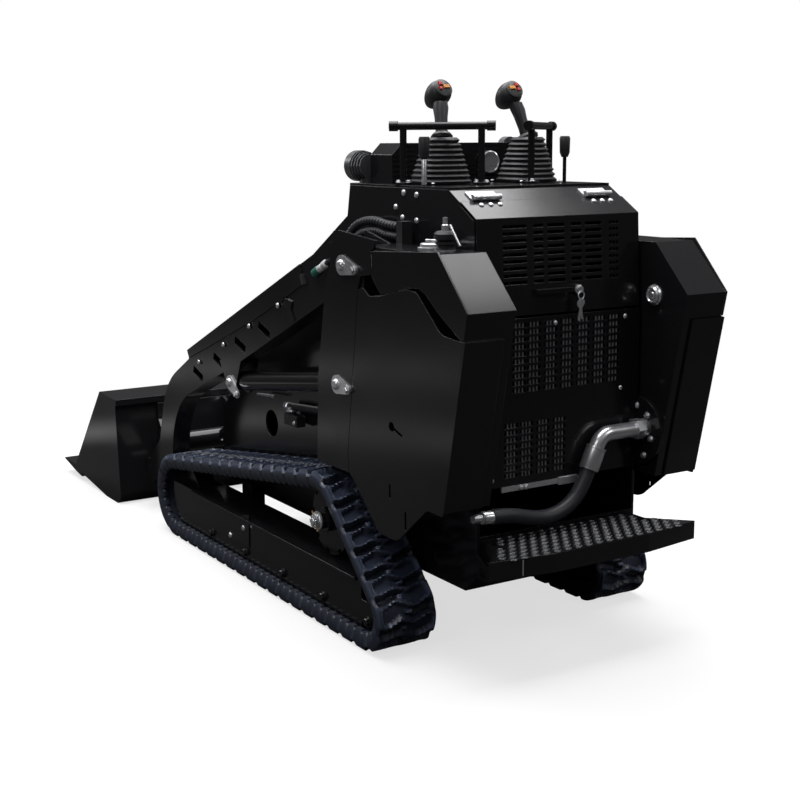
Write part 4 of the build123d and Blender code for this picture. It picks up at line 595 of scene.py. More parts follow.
# Outline of a near-black sheet under each pod's guards: painted shade that shows in their slots.
SHADE_SHEET_OUTLINE = (
    (-0.885, 0.470), (-0.905, 1.015), (-1.230, 1.025), (-1.338, 0.915), (-1.326, 0.850),
    (-1.254, 0.442), (-1.190, 0.436), (-1.058, 0.326), (-0.976, 0.326), (-0.872, 0.440),
)
NUT_SLOTS = 6
HINGE_Y = 0.176
HINGE_SCREW_GAP = 0.028


def castle_nuts():
    """Slotted nuts on washers over both sprocket axles."""
    washer = ((0.026, -0.001), (0.026, 0.003), (0.024, 0.004))
    nut = ((0.0195, 0.003), (0.0195, 0.010), (0.018, 0.011))
    stub = ((0.0105, 0.004), (0.0105, 0.018), (0.009, 0.020))
    shapes = []
    for side in SIDES:
        hub, out = (SPROCKET_X, side * HUB_FACE, SPROCKET_Z), (0, side, 0)
        shapes += [spun(washer, 28, hub, out), spun(nut, 6, hub, out)]
        tooth = block((0.006, 0.0125, 0.007), (0.0145, 0, 0.0135), 0.001)
        shapes += [turned_to(tooth, hub, out, n * math.tau / NUT_SLOTS) for n in range(NUT_SLOTS)]
        shapes.append(spun(stub, 20, hub, out))
    return shapes


class LOADER_OT_fasteners(bpy.types.Operator):
    """Sets bolts, screws and axle heads on their plates"""

    bl_idname = "loader.fasteners"
    bl_label = "Fasteners"

    def execute(self, context):
        heads = {"hex": hex_bolt, "dome": dome_bolt}
        for body in ("chassis", "boom"):
            shapes = [
                turned_to(heads[kind](radius), (x, side * face, z), (0, side, 0))
                for rides, face, x, z, radius, kind in SIDE_BOLTS if rides == body
                for side in SIDES
            ]
            if body == "chassis":
                left = (0, 1, 0)
                inner_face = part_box("tank_pod_right")[1][1]
                shapes += [
                    turned_to(dome_bolt(0.006), (PANEL, y, z), REARWARD) for y, z in REAR_BOLTS
                ]
                shapes += [turned_to(hex_bolt(0.007), (x, -CHEEK, z), left) for x, z in COVER_BOLTS]
                shapes.append(spun(POD_PLUG, 32, (-1.243, inner_face, 0.905), left))
                shapes += castle_nuts()
            add_piece("plated_bolts_" + body, joined(shapes), "zinc_steel", body)
        hooks = both_plates(HOOK, ARM_FACE, 0.001, 0.004)
        add_piece("arm_hooks", joined(hooks), "black_paint", "boom")
        # A near-black sheet under the guards paints the shade seen in their slots.
        shade_sheets = both_plates(SHADE_SHEET_OUTLINE, POD_FACE, 0.002, 0.0012)
        add_piece("painted_shade_behind_slots", joined(shade_sheets), "painted_slot_shade", "chassis", smooth=0)
        axles = [
            turned_to(hex_bolt(0.011), (x, side * FRAME_PLATE, AXLE_BOLT_Z), (0, side, 0))
            for x in AXLE_BOLT_X for side in SIDES
        ]
        screens = both_plates(SCREEN, FRAME_PLATE, 0.001, 0.003)
        add_piece("frame_trim", joined(axles + screens), "black_paint", "chassis")
        pins = [
            spun(((0.0026, -0.030), (0.0026, 0.030)), 8,
                 (SPROCKET_X, side * (HUB_FACE + 0.010), SPROCKET_Z), (0.5, 0, 0.86))
            for side in SIDES
        ]
        add_piece("split_pins", joined(pins), "copper_pin", "chassis")
        # Three screws hold each hinge's leaf to the cowl and three bolts the other to the hatch.
        along = np.array((math.cos(HATCH_SLOPE), 0, math.sin(HATCH_SLOPE)))
        up = np.array((-math.sin(HATCH_SLOPE), 0, math.cos(HATCH_SLOPE)))
        for name, body, run, lift in (
            ("hinge_screws", "chassis", 0.020, 0.004), ("hatch_bolts", "rear_hatch", -0.024, 0.003),
        ):
            foot = HINGE_SEAM + along * run + up * lift
            shapes = [
                turned_to(dome_bolt(0.0072), foot + (0, side * HINGE_Y + shift, 0), up)
                for side in SIDES for shift in (-HINGE_SCREW_GAP, 0, HINGE_SCREW_GAP)
            ]
            add_piece(name, joined(shapes), "zinc_steel", body)
        return {"FINISHED"}


VENTS = (                  # top row, rows, columns: windows of 40 by 11 mm
    (0.852, 10, (0.134, 0.089, 0.037, -0.015, -0.067, -0.119, -0.167)),
    (0.603, 8, (0.157, 0.110, 0.058, 0.006)),
)
VENT_ROW_GAP = 0.018
LOCK_Y, LOCK_Z = -0.042, 0.931
RING_Z, RING_RADIUS = 0.917, 0.009
RAIL_Z = 0.4435


class LOADER_OT_rear(bpy.types.Operator):
    """Fits light grey blocks in the vents' windows as painted light through the perforations, the
    lock, its keys and the rail's bolts
    """

    bl_idname = "loader.rear"
    bl_label = "Rear"

    def execute(self, context):
        # Light grey blocks in the vent windows paint the light seen through the perforations.
        lit_slot_blocks = [
            block((0.0042, 0.0038, 0.0116), (PANEL + 0.0025, y + shift, top - row * VENT_ROW_GAP))
            for top, rows, columns in VENTS for row in range(rows) for y in columns
            for shift in (-0.0108, 0, 0.0108)
        ]
        add_piece("lit_vent_blocks", joined(lit_slot_blocks), "vent_slot_light", "chassis", smooth=0)
        barrel = ((0.011, 0), (0.011, 0.004), (0.0085, 0.006), (0.0085, 0.011), (0.003, 0.0115))
        lock = spun(barrel, 24, (LATCH_FACE, LOCK_Y, LOCK_Z), REARWARD)
        add_piece("lock_barrel", lock, "zinc_steel", "rear_hatch")
        key_x = LATCH_FACE - 0.012
        ring = [
            spun(((0.0011, 0), (0.0011, 0.0042)), 8,
                 (key_x, LOCK_Y + RING_RADIUS * math.sin(a), RING_Z + RING_RADIUS * math.cos(a)),
                 (0, math.cos(a), -math.sin(a)))
            for a in np.arange(16) * math.pi / 8
        ]
        bow, blade = lathe(((0.0105, 0), (0.0105, 0.0018)), 16), block((0.006, 0.034, 0.0018))
        keys = [
            turned_to(shape, (key_x - 0.002 * number, LOCK_Y + shift, z), REARWARD, roll)
            for number, (shape, shift, z, roll) in enumerate((
                (bow, 0.0, 0.899, 0.0), (blade, 0.0, 0.874, 0.12),
                (bow, 0.006, 0.896, 0.0), (blade, 0.009, 0.871, -0.18),
            ))
        ]
        rail = [
            turned_to(hex_bolt(0.006), (RAIL_FACE, y, RAIL_Z), REARWARD) for y in (0.128, 0.112)
        ]
        rail.append(block((0.006, 0.060, 0.020), (RAIL_FACE - 0.001, -0.020, RAIL_Z), 0.001))
        add_piece("rail_bolts", joined(rail), "zinc_steel", "chassis")
        add_piece("keys", joined(ring + keys), "zinc_steel", "rear_hatch")
        return {"FINISHED"}


TREAD_RING = (             # radius, height
    (0.0122, -0.0006), (0.0110, 0.0018), (0.0100, 0.0025), (0.0090, 0.0018), (0.0080, -0.0004),
)
TREAD_FRONT_X = -1.213
TREAD_ROWS, TREAD_ROW_GAP = 7, 0.0235
TREAD_COLUMN_GAP = 0.033
TREAD_MARGIN = 0.014
STEP_OUTLINE = ((1.255, 1.348, 1.373), (0.240, 0.330, 0.150))     # way back, half width


class LOADER_OT_platform(bpy.types.Operator):
    """Raises the rows of punched rings on the rear platform"""

    bl_idname = "loader.platform"
    bl_label = "Platform"

    def execute(self, context):
        shapes = []
        for row in range(TREAD_ROWS):
            x = TREAD_FRONT_X - row * TREAD_ROW_GAP
            reach = np.interp(-x, *STEP_OUTLINE) - TREAD_MARGIN
            for number in range(-10, 11):
                y = number * TREAD_COLUMN_GAP + (TREAD_COLUMN_GAP / 2 if row % 2 else 0)
                if abs(y) < reach:
                    shapes.append(spun(TREAD_RING, 14, (x, y, STEP_TOP), UP))
        # A thin bright plated strip along the platform lip's fold paints the highlight on its bend.
        fold_glint_strip = block((0.0016, 0.003, 0.040), (-1.3612, 0.239, STEP_TOP - 0.024))
        add_piece("painted_fold_highlight", fold_glint_strip, "zinc_steel", "chassis", smooth=0)
        add_piece("tread_rings", joined(shapes), "worn_tread", "chassis", smooth=60)
        return {"FINISHED"}


def ringed(rows, sides=40):
    """A closed skin over rows of (centre, half length, half width, squareness) seen from above."""
    angle = np.arange(sides) * 2 * np.pi / sides
    wave, swing = np.cos(angle), np.sin(angle)
    points = []
    for centre, length, width, power in rows:
        x = np.sign(wave) * np.abs(wave) ** (2 / power) * length
        y = np.sign(swing) * np.abs(swing) ** (2 / power) * width
        points.append(np.stack([x, y, np.zeros(sides)], -1) + centre)
    faces = grid_faces(len(rows), sides, wrap_columns=True)
    faces += [list(range(sides))[::-1], list(range(len(rows) * sides - sides, len(rows) * sides))]
    return np.concatenate(points), faces


STICK_Y = 0.140            # of a joystick's boot
BOOT_X = -0.860
BOOT_HEIGHT = 0.118
BOOT_FOLDS = (0.0, 0.0035, 0.0062, 0.0035)
BOOT_RIDGES = 9
HEAD_TILT = Vector((-0.85, 0.0, 0.527))      # way the buttons face
LEVERS = ((-0.918, 0.228), (-0.919, -0.225))
LAMP_Y, LAMP_Z = 0.220, 1.231


def bellows(centre_y):
    """A square-footed rubber boot whose folds step in as it rises."""
    rows = []
    count = BOOT_RIDGES * len(BOOT_FOLDS)
    for step in range(count + 1):
        share = step / count
        half = 0.064 - 0.026 * share ** 1.1 + BOOT_FOLDS[step % len(BOOT_FOLDS)]
        centre = (BOOT_X - 0.006 * share, centre_y, DECK + 0.002 + BOOT_HEIGHT * share)
        rows.append((centre, half, half * 0.98, 4.5 - 2.3 * share))
    return ringed(rows)


def head_place(side):
    """Centre of a joystick's head: forward and inward of its boot."""
    return Vector((-0.806, side * 0.115, 1.4135))


def grip(side):
    """The stem leans forward and inward and runs into the rear of an egg-shaped head."""
    foot, head = np.array((-0.868, side * STICK_Y, 1.296)), np.array(head_place(side))
    top = head + (-0.026, 0.006 * side, -0.014)
    rows = [
        (foot + (top - foot) * share, half * 1.1, half * 0.95, 2.6)
        for share, half in ((0, 0.0165), (0.3, 0.0145), (0.6, 0.016), (0.82, 0.019), (1.0, 0.017))
    ]
    egg = [
        (0.0325 * math.cos(a) * (1 + 0.22 * math.sin(a)), 0.046 * math.sin(a))
        for a in np.linspace(-1.45, 0.95, 16)
    ]
    return [ringed(rows, 28), spun(egg, 32, head, HEAD_TILT)]


class LOADER_OT_controls(bpy.types.Operator):
    """Moulds the joysticks and finishes the console, the levers and the spot lamp"""

    bl_idname = "loader.controls"
    bl_label = "Controls"

    def execute(self, context):
        self.make_joysticks()
        self.make_trim()
        return {"FINISHED"}

    def make_joysticks(self):
        """Two sticks in their boots, with the buttons on their heads."""
        buttons = {"red": [], "amber": []}
        across = Vector((0, 1, 0))
        up = HEAD_TILT.cross(across)
        if up.z < 0:
            up = -up
        for side, name in zip(SIDES, ("left", "right")):
            collar = spun(((0.027, -0.004), (0.029, 0.004), (0.024, 0.011)), 24,
                          (-0.867, side * STICK_Y, DECK + BOOT_HEIGHT), (0.35, -0.18 * side, 1))
            face = head_place(side) + HEAD_TILT * 0.0365
            plate = spun(((0.0255, -0.006), (0.0262, 0.001), (0.0225, 0.0035)), 28, face, HEAD_TILT)
            stick = add_piece(
                "stick_" + name, joined([bellows(side * STICK_Y), collar, plate] + grip(side)),
                "boot_rubber", "chassis", smooth=40)
            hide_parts("joystick_" + name)
            for colour, right, high, size in (
                ("red", 0.008, 0.011, (0.010, 0.012, 0.004)),
                ("red", 0.011, -0.003, (0.009, 0.010, 0.004)),
                ("amber", -0.008, 0.002, (0.010, 0.019, 0.004)),
            ):
                spot = face + HEAD_TILT * 0.005 + across * (side * right) + up * high
                button = turned_to(block(size, bevel=0.0012), spot, HEAD_TILT, math.pi / 2)
                buttons[colour].append(button)
        for colour, shapes in buttons.items():
            add_piece(colour + "_buttons", joined(shapes), colour + "_button", "chassis",
                      smooth=0)

    def make_trim(self):
        """Dial, studs and bolts of the console, with the levers and the spot lamp."""
        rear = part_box("console")[0][0]
        rim = ((0.030, 0), (0.030, 0.004), (0.027, 0.006), (0.026, 0.003), (0.004, 0.003))
        trim = [spun(rim, 32, (rear, -0.085, 1.240), REARWARD)]
        trim += [
            spun(((r, 0), (r, 0.010), (r * 0.8, 0.014)), 14, (rear + 0.012, y, z), REARWARD)
            for y, z, r in (
                (0.06, 1.252, 0.009), (0.02, 1.252, 0.009), (-0.150, 1.232, 0.011),
                (0.110, 1.225, 0.008),
            )
        ]
        trim += [
            turned_to(hex_bolt(0.006), (x + dx, side * (y + dy), DECK + 0.006), UP)
            for x, y in ((-0.835, 0.238), (-0.960, 0.080)) for side in SIDES
            for dx, dy in ((0.014, 0.006), (-0.014, -0.006))
        ]
        trim += [
            turned_to(dome_bolt(0.005), (BOOT_X + x, side * STICK_Y + y, DECK + 0.004), UP)
            for side in SIDES for x in (-0.066, 0.066) for y in (-0.066, 0.066)
        ]
        rod = ((0.0066, 0.002), (0.0066, 0.070), (0.0055, 0.072))
        trim.append(spun(rod, 14, (*LEVERS[0], DECK), UP))
        post = ((0.012, 0), (0.012, 0.046), (0.008, 0.050))
        trim.append(spun(post, 12, (-0.606, LAMP_Y, DECK - 0.002), UP))
        trim += [
            turned_to(dome_bolt(0.0055), (-0.6175, LAMP_Y + across, LAMP_Z + rise), REARWARD)
            for across, rise in [
                (0.021 * math.cos(a), 0.021 * math.sin(a)) for a in (0.5, 2.6, 4.7)
            ]
        ]
        add_piece("console_trim", joined(trim), "zinc_steel", "chassis")
        handle = ((0.0085, 0), (0.0135, 0.012), (0.0145, 0.050), (0.012, 0.056))
        grips = [spun(handle, 20, (x, y, DECK + 0.066), UP) for x, y in LEVERS]
        shell = [(0.037 * math.cos(a), 0.016 * math.sin(a)) for a in np.linspace(0, 1.5, 8)]
        grips.append(spun(shell, 32, (-0.6125, LAMP_Y, LAMP_Z), REARWARD))
        add_piece("lever_grips", joined(grips), "boot_rubber", "chassis")


POD_HOSES = {              # x, z of each hose's control points
    "pod_hose_inner": ((-0.626, 0.950), (-0.626, 0.986), (-0.642, 1.022), (-0.674, 1.048),
                       (-0.720, 1.062), (-0.774, 1.067), (-0.834, 1.056), (-0.892, 1.056)),
    "pod_hose_outer": ((-0.598, 0.950), (-0.598, 1.000), (-0.618, 1.042), (-0.660, 1.074),
                       (-0.712, 1.090), (-0.772, 1.094), (-0.834, 1.083), (-0.892, 1.083)),
}
REAR_HOSE = (              # turn from straight down, run
    (25, 0.060), (50, 0.060), (75, 0.060), (98, 0.060), (106, 0.062), (93, 0.056),
)


def points_along(curve_object):
    """The line of a NURBS piece as points, read from a copy with no bevel."""
    plain = curve_object.copy()
    plain.data = curve_object.data.copy()
    plain.data.bevel_depth = 0
    bpy.context.collection.objects.link(plain)
    mesh = bpy.data.meshes.new_from_object(plain)
    points = np.array([vertex.co[:] for vertex in mesh.vertices])
    bpy.data.objects.remove(plain)
    bpy.data.meshes.remove(mesh)
    return points


def wrap_round(line, radius, thickness, turns, sides=6, steps=14):
    """A wire wound round a line: its centre turns round the line as it runs along it."""
    gaps = np.linalg.norm(np.diff(line, axis=0), axis=1)
    way = np.concatenate([[0], np.cumsum(gaps)])
    share = np.linspace(0.01, 0.99, turns * steps)
    centre = np.stack([np.interp(share * way[-1], way, line[:, k]) for k in range(3)], -1)
    ahead = np.gradient(centre, axis=0)
    ahead /= np.linalg.norm(ahead, axis=1)[:, None]
    side = np.cross(ahead, (0, 1, 0))
    side /= np.linalg.norm(side, axis=1)[:, None]
    other = np.cross(side, ahead)
    angle = np.arange(turns * steps) * 2 * np.pi / steps
    out = side * np.cos(angle)[:, None] + other * np.sin(angle)[:, None]
    spine = centre + out * radius
    around = np.arange(sides) * 2 * np.pi / sides
    rise, run = np.cos(around)[None, :, None], np.sin(around)[None, :, None]
    ring = out[:, None, :] * rise + ahead[:, None, :] * 1.5 * run
    points = spine[:, None, :] + thickness * ring
    return points.reshape(-1, 3), grid_faces(len(spine), sides, wrap_columns=True)


PIPE_Y, PIPE_Z = -0.108, 0.556   # corner of the elbow's pipe
PIPE_BEND = 0.046
PIPE_LIP = 0.006
FERRULE_LENGTH = 0.060
PIPE_LEAN = REAR_HOSE[0][0]
FERRULE = ((0.0268, 0), (0.0268, 0.005), (0.0256, 0.006), (0.0256, 0.058), (0.0240, 0.061))
HOSE_TIP = (
    (0.0166, -0.001), (0.0166, 0.028), (0.0150, 0.031), (0.0106, 0.031), (0.0106, 0.057),
    (0.0090, 0.0585),
)
BREATHER_PLACE = (-1.150, 0.320)
BREATHER = (
    (0.024, 0), (0.024, 0.006), (0.018, 0.008), (0.018, 0.014), (0.024, 0.016), (0.024, 0.021),
    (0.019, 0.023), (0.026, 0.028), (0.027, 0.040), (0.022, 0.046), (0.010, 0.048),
)
FILLER_PLACE = (-1.082, 0.314, POD_TOP)
FILLER = (
    (0.034, 0), (0.034, 0.004), (0.028, 0.005), (0.028, 0.012), (0.025, 0.014), (0.010, 0.014),
)
CAP_ROD = ((0.003, 0), (0.003, 0.062))


def middle_of(name, axis):
    """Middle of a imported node's box along an axis."""
    low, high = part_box(name)
    return (low[axis] + high[axis]) / 2


def downward(turn):
    """A way down and to the left, at a turn in degrees from straight down."""
    return np.array((0, math.sin(math.radians(turn)), -math.cos(math.radians(turn))))


class LOADER_OT_hoses(bpy.types.Operator):
    """Lays the hoses on their routes, with spiral guards, and caps the left pod"""

    bl_idname = "loader.hoses"
    bl_label = "Hoses"

    def execute(self, context):
        y = middle_of("pod_hose_inner", 1)
        for name, route in POD_HOSES.items():
            tube = smooth_hose([(x, y, z) for x, z in route], 0.0095, name)
            guard = wrap_round(points_along(tube), 0.0098, 0.0016, 26)
            add_piece("guard_" + name, guard, "hose_rubber", "chassis", smooth=80)
        self.lay_rear_hose()
        self.cap_pod()
        return {"FINISHED"}

    def lay_rear_hose(self):
        """The thick hose from the oil pipe's ferrule to its fitting."""
        x = middle_of("rear_hose", 0)
        corner = np.array((x, PIPE_Y, PIPE_Z))
        fall = PIPE_BEND * math.tan(math.radians((90 - PIPE_LEAN) / 2)) + PIPE_LIP + FERRULE_LENGTH
        down = downward(PIPE_LEAN)
        route = [corner + down * fall]
        for turn, run in REAR_HOSE:
            route.append(route[-1] + run * downward(turn))
        smooth_hose(route, 0.0195, "rear_hose")
        ferrule = spun(FERRULE, 36, corner + down * (fall - FERRULE_LENGTH), down)
        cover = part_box("pod_cover")[1][1]
        collar = spun(((0.025, -0.001), (0.025, 0.0145)), 32, (x, cover, PIPE_Z), (0, 1, 0))
        add_piece("ferrule_and_collar", joined([ferrule, collar]), "bare_steel", "chassis")
        tip = spun(HOSE_TIP, 28, route[-1], route[-1] - route[-2])
        add_piece("hose_tip", tip, "zinc_steel", "chassis")

    def cap_pod(self):
        """Breather and filler cap on the left pod, with their plated rings and rod."""
        breather = spun(BREATHER, 32, (*BREATHER_PLACE, POD_TOP), UP)
        cap = add_piece("breather", breather, "boot_rubber", "chassis", smooth=30)
        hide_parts("pod_caps")
        shapes = [spun(FILLER, 32, FILLER_PLACE, UP)]
        wing = block((0.034, 0.005, 0.010), (0, 0, 0.018), 0.001)
        shapes += [turned_to(wing, FILLER_PLACE, UP, a) for a in (0.4, 1.6)]
        neck = ((0.009, 0), (0.009, 0.014), (0.006, 0.016), (0.006, 0.032))
        shapes += [
            spun(((0.0255, 0), (0.0255, 0.004)), 32, (*BREATHER_PLACE, POD_TOP - 0.001), UP),
            spun(neck, 16, (*BREATHER_PLACE, POD_TOP + 0.047), UP),
            spun(CAP_ROD, 8, (-1.170, 0.320, POD_TOP + 0.062), (-0.55, 0, -0.62)),
        ]
        add_piece("filler_cap", joined(shapes), "zinc_steel", "chassis")


COUPLING_LEAN = (-0.90, 0, 0.44)
COUPLING_SLEEVE = ((0.010, 0), (0.0125, 0.003), (0.0125, 0.030), (0.010, 0.033))
COUPLING_BODY = (
    (0.0105, 0.033), (0.0105, 0.050), (0.008, 0.052), (0.008, 0.058), (0.0115, 0.060),
    (0.0115, 0.074), (0.007, 0.077),
)
VALVE_Y = 0.282
VALVE_WAY = (-0.996, 0, 0.09)    # of the oil hose beside the lift cylinder
UNION = ((0.0135, -0.030), (0.0135, -0.012), (0.011, -0.010), (0.011, 0.0))


class LOADER_OT_arm_fittings(bpy.types.Operator):
    """Fits the oil couplers at the arm's rear and the hose run beside the lift cylinder"""

    bl_idname = "loader.arm_fittings"
    bl_label = "Arm fittings"

    def execute(self, context):
        for side, name in zip(SIDES, ("left", "right")):
            foot = (-0.610, side * (ARM_FACE + 0.002), 0.946)
            bracket = turned_to(block((0.014, 0.010, 0.030), bevel=0.002),
                                (-0.548, side * (ARM_FACE + 0.003), 0.925), (0.44, 0, 0.9))
            stub = spun(((0.007, 0.077), (0.007, 0.098)), 12, foot, COUPLING_LEAN)
            for finish, shape in (
                ("green_cap", spun(COUPLING_SLEEVE, 20, foot, COUPLING_LEAN)),
                ("white_cap", spun(COUPLING_BODY, 20, foot, COUPLING_LEAN)),
                ("boot_rubber", joined([stub, bracket])),
            ):
                add_piece("coupler_" + finish + "_" + name, shape, finish, "boom")
        dark, plated = [], []
        ribbed = [(0.0095 if n % 2 else 0.0118, n * 0.006) for n in range(32)]
        for side in SIDES:
            y = side * VALVE_Y
            end = (-0.262, y, 0.513)
            dark += [
                spun(ribbed, 18, end, VALVE_WAY),
                turned_to(block((0.080, 0.030, 0.034), bevel=0.003), (-0.285, y, 0.476), UP),
                spun(((0.012, 0), (0.012, 0.030)), 16, (-0.272, y, 0.486), UP),
            ]
            plated += [
                turned_to(hex_bolt(0.014), (-0.272, y, 0.500), UP),
                spun(UNION, 6, end, VALVE_WAY),
                spun(((0.0045, 0), (0.0045, 0.118)), 10, (-0.040, y, 0.516), VALVE_WAY),
                turned_to(dome_bolt(0.007), (-0.310, side * 0.297, 0.470), (0, side, 0)),
            ]
        add_piece("body_valves", joined(dark), "boot_rubber", "chassis")
        add_piece("body_unions", joined(plated), "zinc_steel", "chassis")
        return {"FINISHED"}


# ----------------------------------------------------------------------- stage
CAMERA_PLACE = (-3.8306, 2.1271, 1.3000)
CAMERA_YAW = -32.04        # of the line of sight from +X, towards -Y when negative
CAMERA_PITCH = -10.4
CAMERA_ROLL = -0.35


LIGHTS = (                 # name, place, aim, width and height, watts
    ("near_side", (-2.6, 4.4, 3.4), (-0.4, 0, 0.4), (2.4, 1.0), 34.0),
    ("front_side", (4.2, 2.2, 3.2), (0.3, 0, 0.4), (1.6, 1.0), 40.0),
    ("far_side", (-0.4, -4.8, 3.2), (-0.3, 0, 0.4), (2.4, 1.0), 34.0),
    ("rear_side", (-4.6, -2.0, 3.4), (-0.8, 0, 0.5), (1.2, 1.0), 22.0),
)
FLOOR_REACH = 14.0
RING_REACH = 7.0           # metres that the light rings' stops divide
LIGHT_RINGS = (            # share of the reach, brightness
    (0.0, 0.0), (0.27, 0.0), (0.31, 0.8), (0.36, 0.03), (0.48, 0.03), (0.54, 1.0), (0.60, 0.08),
    (1.0, 0.03),
)


def area_light(name, place, aim, size, power):
    """A rectangular softbox at a place, facing a point."""
    light = bpy.data.lights.new(name, "AREA")
    light.energy = power
    light.shape = "RECTANGLE"
    light.size, light.size_y = size
    made = linked(name, light)
    made.location = place
    made.rotation_euler = (Vector(aim) - Vector(place)).to_track_quat("-Z", "Y").to_euler()


def pale_floor(studio):
    """White to the eye, dull to every reflection, and gone far from the loader."""
    material, tree, shader = new_material("pale_floor")
    for socket, value in (
        ("Base Color", (0.9, 0.9, 0.9, 1)), ("Roughness", 0.9), ("Specular IOR Level", 0.0),
    ):
        shader.inputs[socket].default_value = value
    place = node(tree, "ShaderNodeTexCoord")
    seen = node(tree, "ShaderNodeLightPath")
    away = node(tree, "ShaderNodeVectorMath", {"operation": "LENGTH"})
    # To the eye: white, with part of the shadow that falls on it.
    white = node(tree, "ShaderNodeEmission", Strength=1.0)
    shaded = node(tree, "ShaderNodeMixShader", Fac=studio.shadow)
    # To a reflection: lit rings ahead of the loader, which upright plates mirror.
    scaled = node(tree, "ShaderNodeMath", {"operation": "DIVIDE"})
    scaled.inputs[1].default_value = RING_REACH
    rings = node(tree, "ShaderNodeValToRGB")
    stops = rings.color_ramp.elements
    while len(stops) < len(LIGHT_RINGS):
        stops.new(0.5)
    for stop, (position, value) in zip(stops, LIGHT_RINGS):
        stop.position = position
        stop.color = (value, value, value, 1)
    glow = node(tree, "ShaderNodeEmission")
    split = node(tree, "ShaderNodeSeparateXYZ")
    ahead = node(tree, "ShaderNodeMapRange", From_Min=-1.9, From_Max=-0.6, To_Max=studio.band)
    dull = node(tree, "ShaderNodeBsdfDiffuse", Color=(studio.floor_bounce,) * 3 + (1,))
    under = node(tree, "ShaderNodeAddShader")
    to_eye = node(tree, "ShaderNodeMixShader")
    # Far away the floor lets the backdrop through to the eye.
    fade = node(tree, "ShaderNodeMapRange", {"interpolation_type": "SMOOTHSTEP"},
                From_Min=1.5, From_Max=2.6)
    far = node(tree, "ShaderNodeMath", {"operation": "MULTIPLY"})
    clear = node(tree, "ShaderNodeBsdfTransparent")
    ends = node(tree, "ShaderNodeMixShader")
    wire(
        tree, (place, "Object", away, 0), (place, "Object", split, 0),
        (white, 0, shaded, 1), (shader, 0, shaded, 2),
        (away, "Value", scaled, 0), (scaled, 0, rings, 0), (rings, 0, glow, "Color"),
        (split, "X", ahead, "Value"), (ahead, "Result", glow, "Strength"),
        (glow, 0, under, 0), (dull, 0, under, 1),
        (seen, "Is Camera Ray", to_eye, 0), (under, 0, to_eye, 1), (shaded, 0, to_eye, 2),
        (away, "Value", fade, "Value"), (fade, "Result", far, 0), (seen, "Is Camera Ray", far, 1),
        (far, 0, ends, 0), (to_eye, 0, ends, 1), (clear, 0, ends, 2),
        (ends, 0, tree.nodes["Material Output"], "Surface"),
    )
    return material


def surround(studio):
    """A world that is the backdrop to the eye and a dim sky to everything else."""
    world = bpy.data.worlds.new("studio")
    world.use_nodes = True
    tree = world.node_tree
    background = tree.nodes["Background"]
    background.inputs["Color"].default_value = (*studio.backdrop, 1)
    seen = node(tree, "ShaderNodeLightPath")
    place = node(tree, "ShaderNodeTexCoord")
    split = node(tree, "ShaderNodeSeparateXYZ")
    sky = node(tree, "ShaderNodeMapRange",
               From_Min=0.15, From_Max=0.9, To_Min=studio.dark, To_Max=studio.sky)
    strength = node(tree, "ShaderNodeMix", {"data_type": "FLOAT"}, B=1.0)
    wire(
        tree, (place, "Generated", split, "Vector"), (split, "Z", sky, "Value"),
        (seen, "Is Camera Ray", strength, "Factor"), (sky, "Result", strength, "A"),
        (strength, "Result", background, "Strength"),
    )
    return world


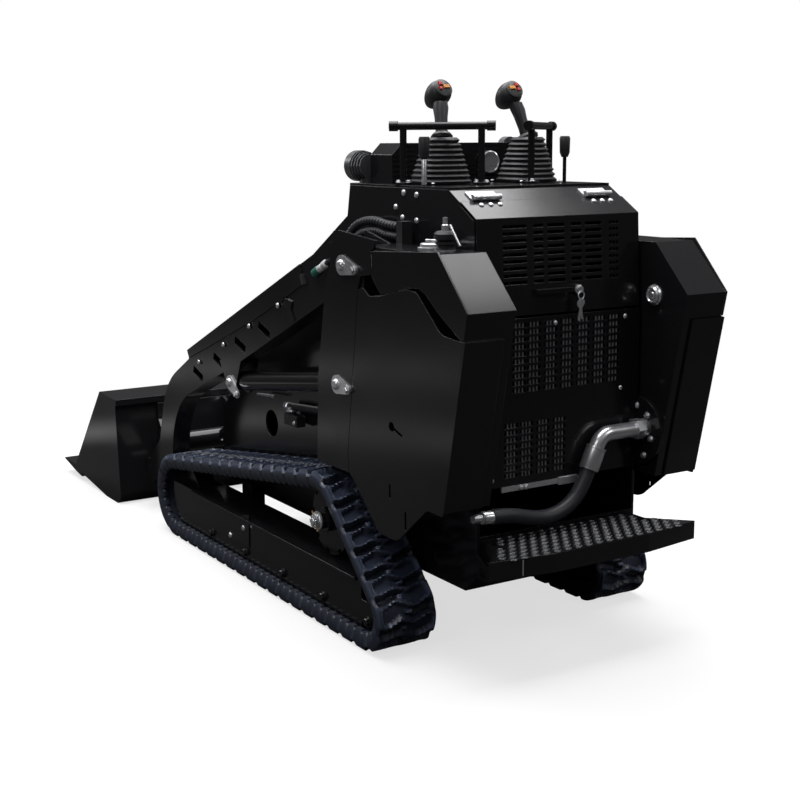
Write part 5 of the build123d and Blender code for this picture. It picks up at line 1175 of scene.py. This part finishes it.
class LOADER_OT_studio(bpy.types.Operator):
    """Sets the floor, the lights and the camera"""

    bl_idname = "loader.studio"
    bl_label = "Studio"

    def execute(self, context):
        studio = context.scene.loader_studio
        scene = context.scene
        scene.view_settings.view_transform = "Standard"
        scene.world = surround(studio)
        floor_mesh = bpy.data.meshes.new("floor")
        corners = ((-1, -1), (1, -1), (1, 1), (-1, 1))
        floor_mesh.from_pydata(
            [(x * FLOOR_REACH, y * FLOOR_REACH, 0) for x, y in corners], [], [(0, 1, 2, 3)],
        )
        floor = linked("floor", floor_mesh)
        floor_mesh.materials.append(pale_floor(studio))

        area_light("overhead", (0.5, -0.3, 4.6), (0.5, -0.3, 0.0), (5.0, 5.0), studio.key_power)
        for light in LIGHTS:
            area_light(*light)

        camera = bpy.data.cameras.new("camera")
        camera.lens = studio.lens
        camera.sensor_width = 36.0
        camera.shift_y = -0.0143
        camera.clip_end = 60.0
        eye = linked("camera", camera)
        eye.location = CAMERA_PLACE
        eye.rotation_mode = "XYZ"
        level = Euler((math.radians(90 + CAMERA_PITCH), 0, math.radians(CAMERA_YAW - 90)), "XYZ")
        roll = Matrix.Rotation(math.radians(CAMERA_ROLL), 4, "Z")
        eye.rotation_euler = (level.to_matrix().to_4x4() @ roll).to_euler("XYZ")
        scene.camera = eye
        return {"FINISHED"}


# ------------------------------------------------------------------------ panel
STEPS = (
    "finishes", "tracks", "fasteners", "rear", "platform", "controls", "hoses", "arm_fittings",
    "studio",
)


class LOADER_PT_panel(bpy.types.Panel):
    """Lists the loader's steps and settings"""

    bl_label = "Track loader"
    bl_idname = "LOADER_PT_panel"
    bl_space_type = "VIEW_3D"
    bl_region_type = "UI"
    bl_category = "Loader"

    def draw(self, context):
        scene = context.scene
        for settings in (scene.loader_finishes, scene.track_shape, scene.loader_studio):
            for prop in settings.bl_rna.properties:
                if not prop.is_readonly and prop.identifier != "name":
                    self.layout.prop(settings, prop.identifier)
        for step in STEPS:
            self.layout.operator("loader." + step)


CLASSES = (
    LoaderFinishes, LoaderStudio, TrackShape, LOADER_OT_finishes, LOADER_OT_tracks,
    LOADER_OT_fasteners, LOADER_OT_rear, LOADER_OT_platform, LOADER_OT_controls, LOADER_OT_hoses,
    LOADER_OT_arm_fittings, LOADER_OT_studio, LOADER_PT_panel,
)


def register():
    """Registers the add-on's classes and its settings."""
    for made in CLASSES:
        bpy.utils.register_class(made)
    bpy.types.Scene.loader_finishes = bpy.props.PointerProperty(type=LoaderFinishes)
    bpy.types.Scene.loader_studio = bpy.props.PointerProperty(type=LoaderStudio)
    bpy.types.Scene.track_shape = bpy.props.PointerProperty(type=TrackShape)


def unregister():
    """Takes the add-on's classes and settings away."""
    del bpy.types.Scene.track_shape
    del bpy.types.Scene.loader_studio
    del bpy.types.Scene.loader_finishes
    for made in reversed(CLASSES):
        bpy.utils.unregister_class(made)


def main():
    """Registers the add-on and runs every step in order."""
    register()
    for step in STEPS:
        getattr(bpy.ops.loader, step)()


if __name__ == "__main__":
    main()
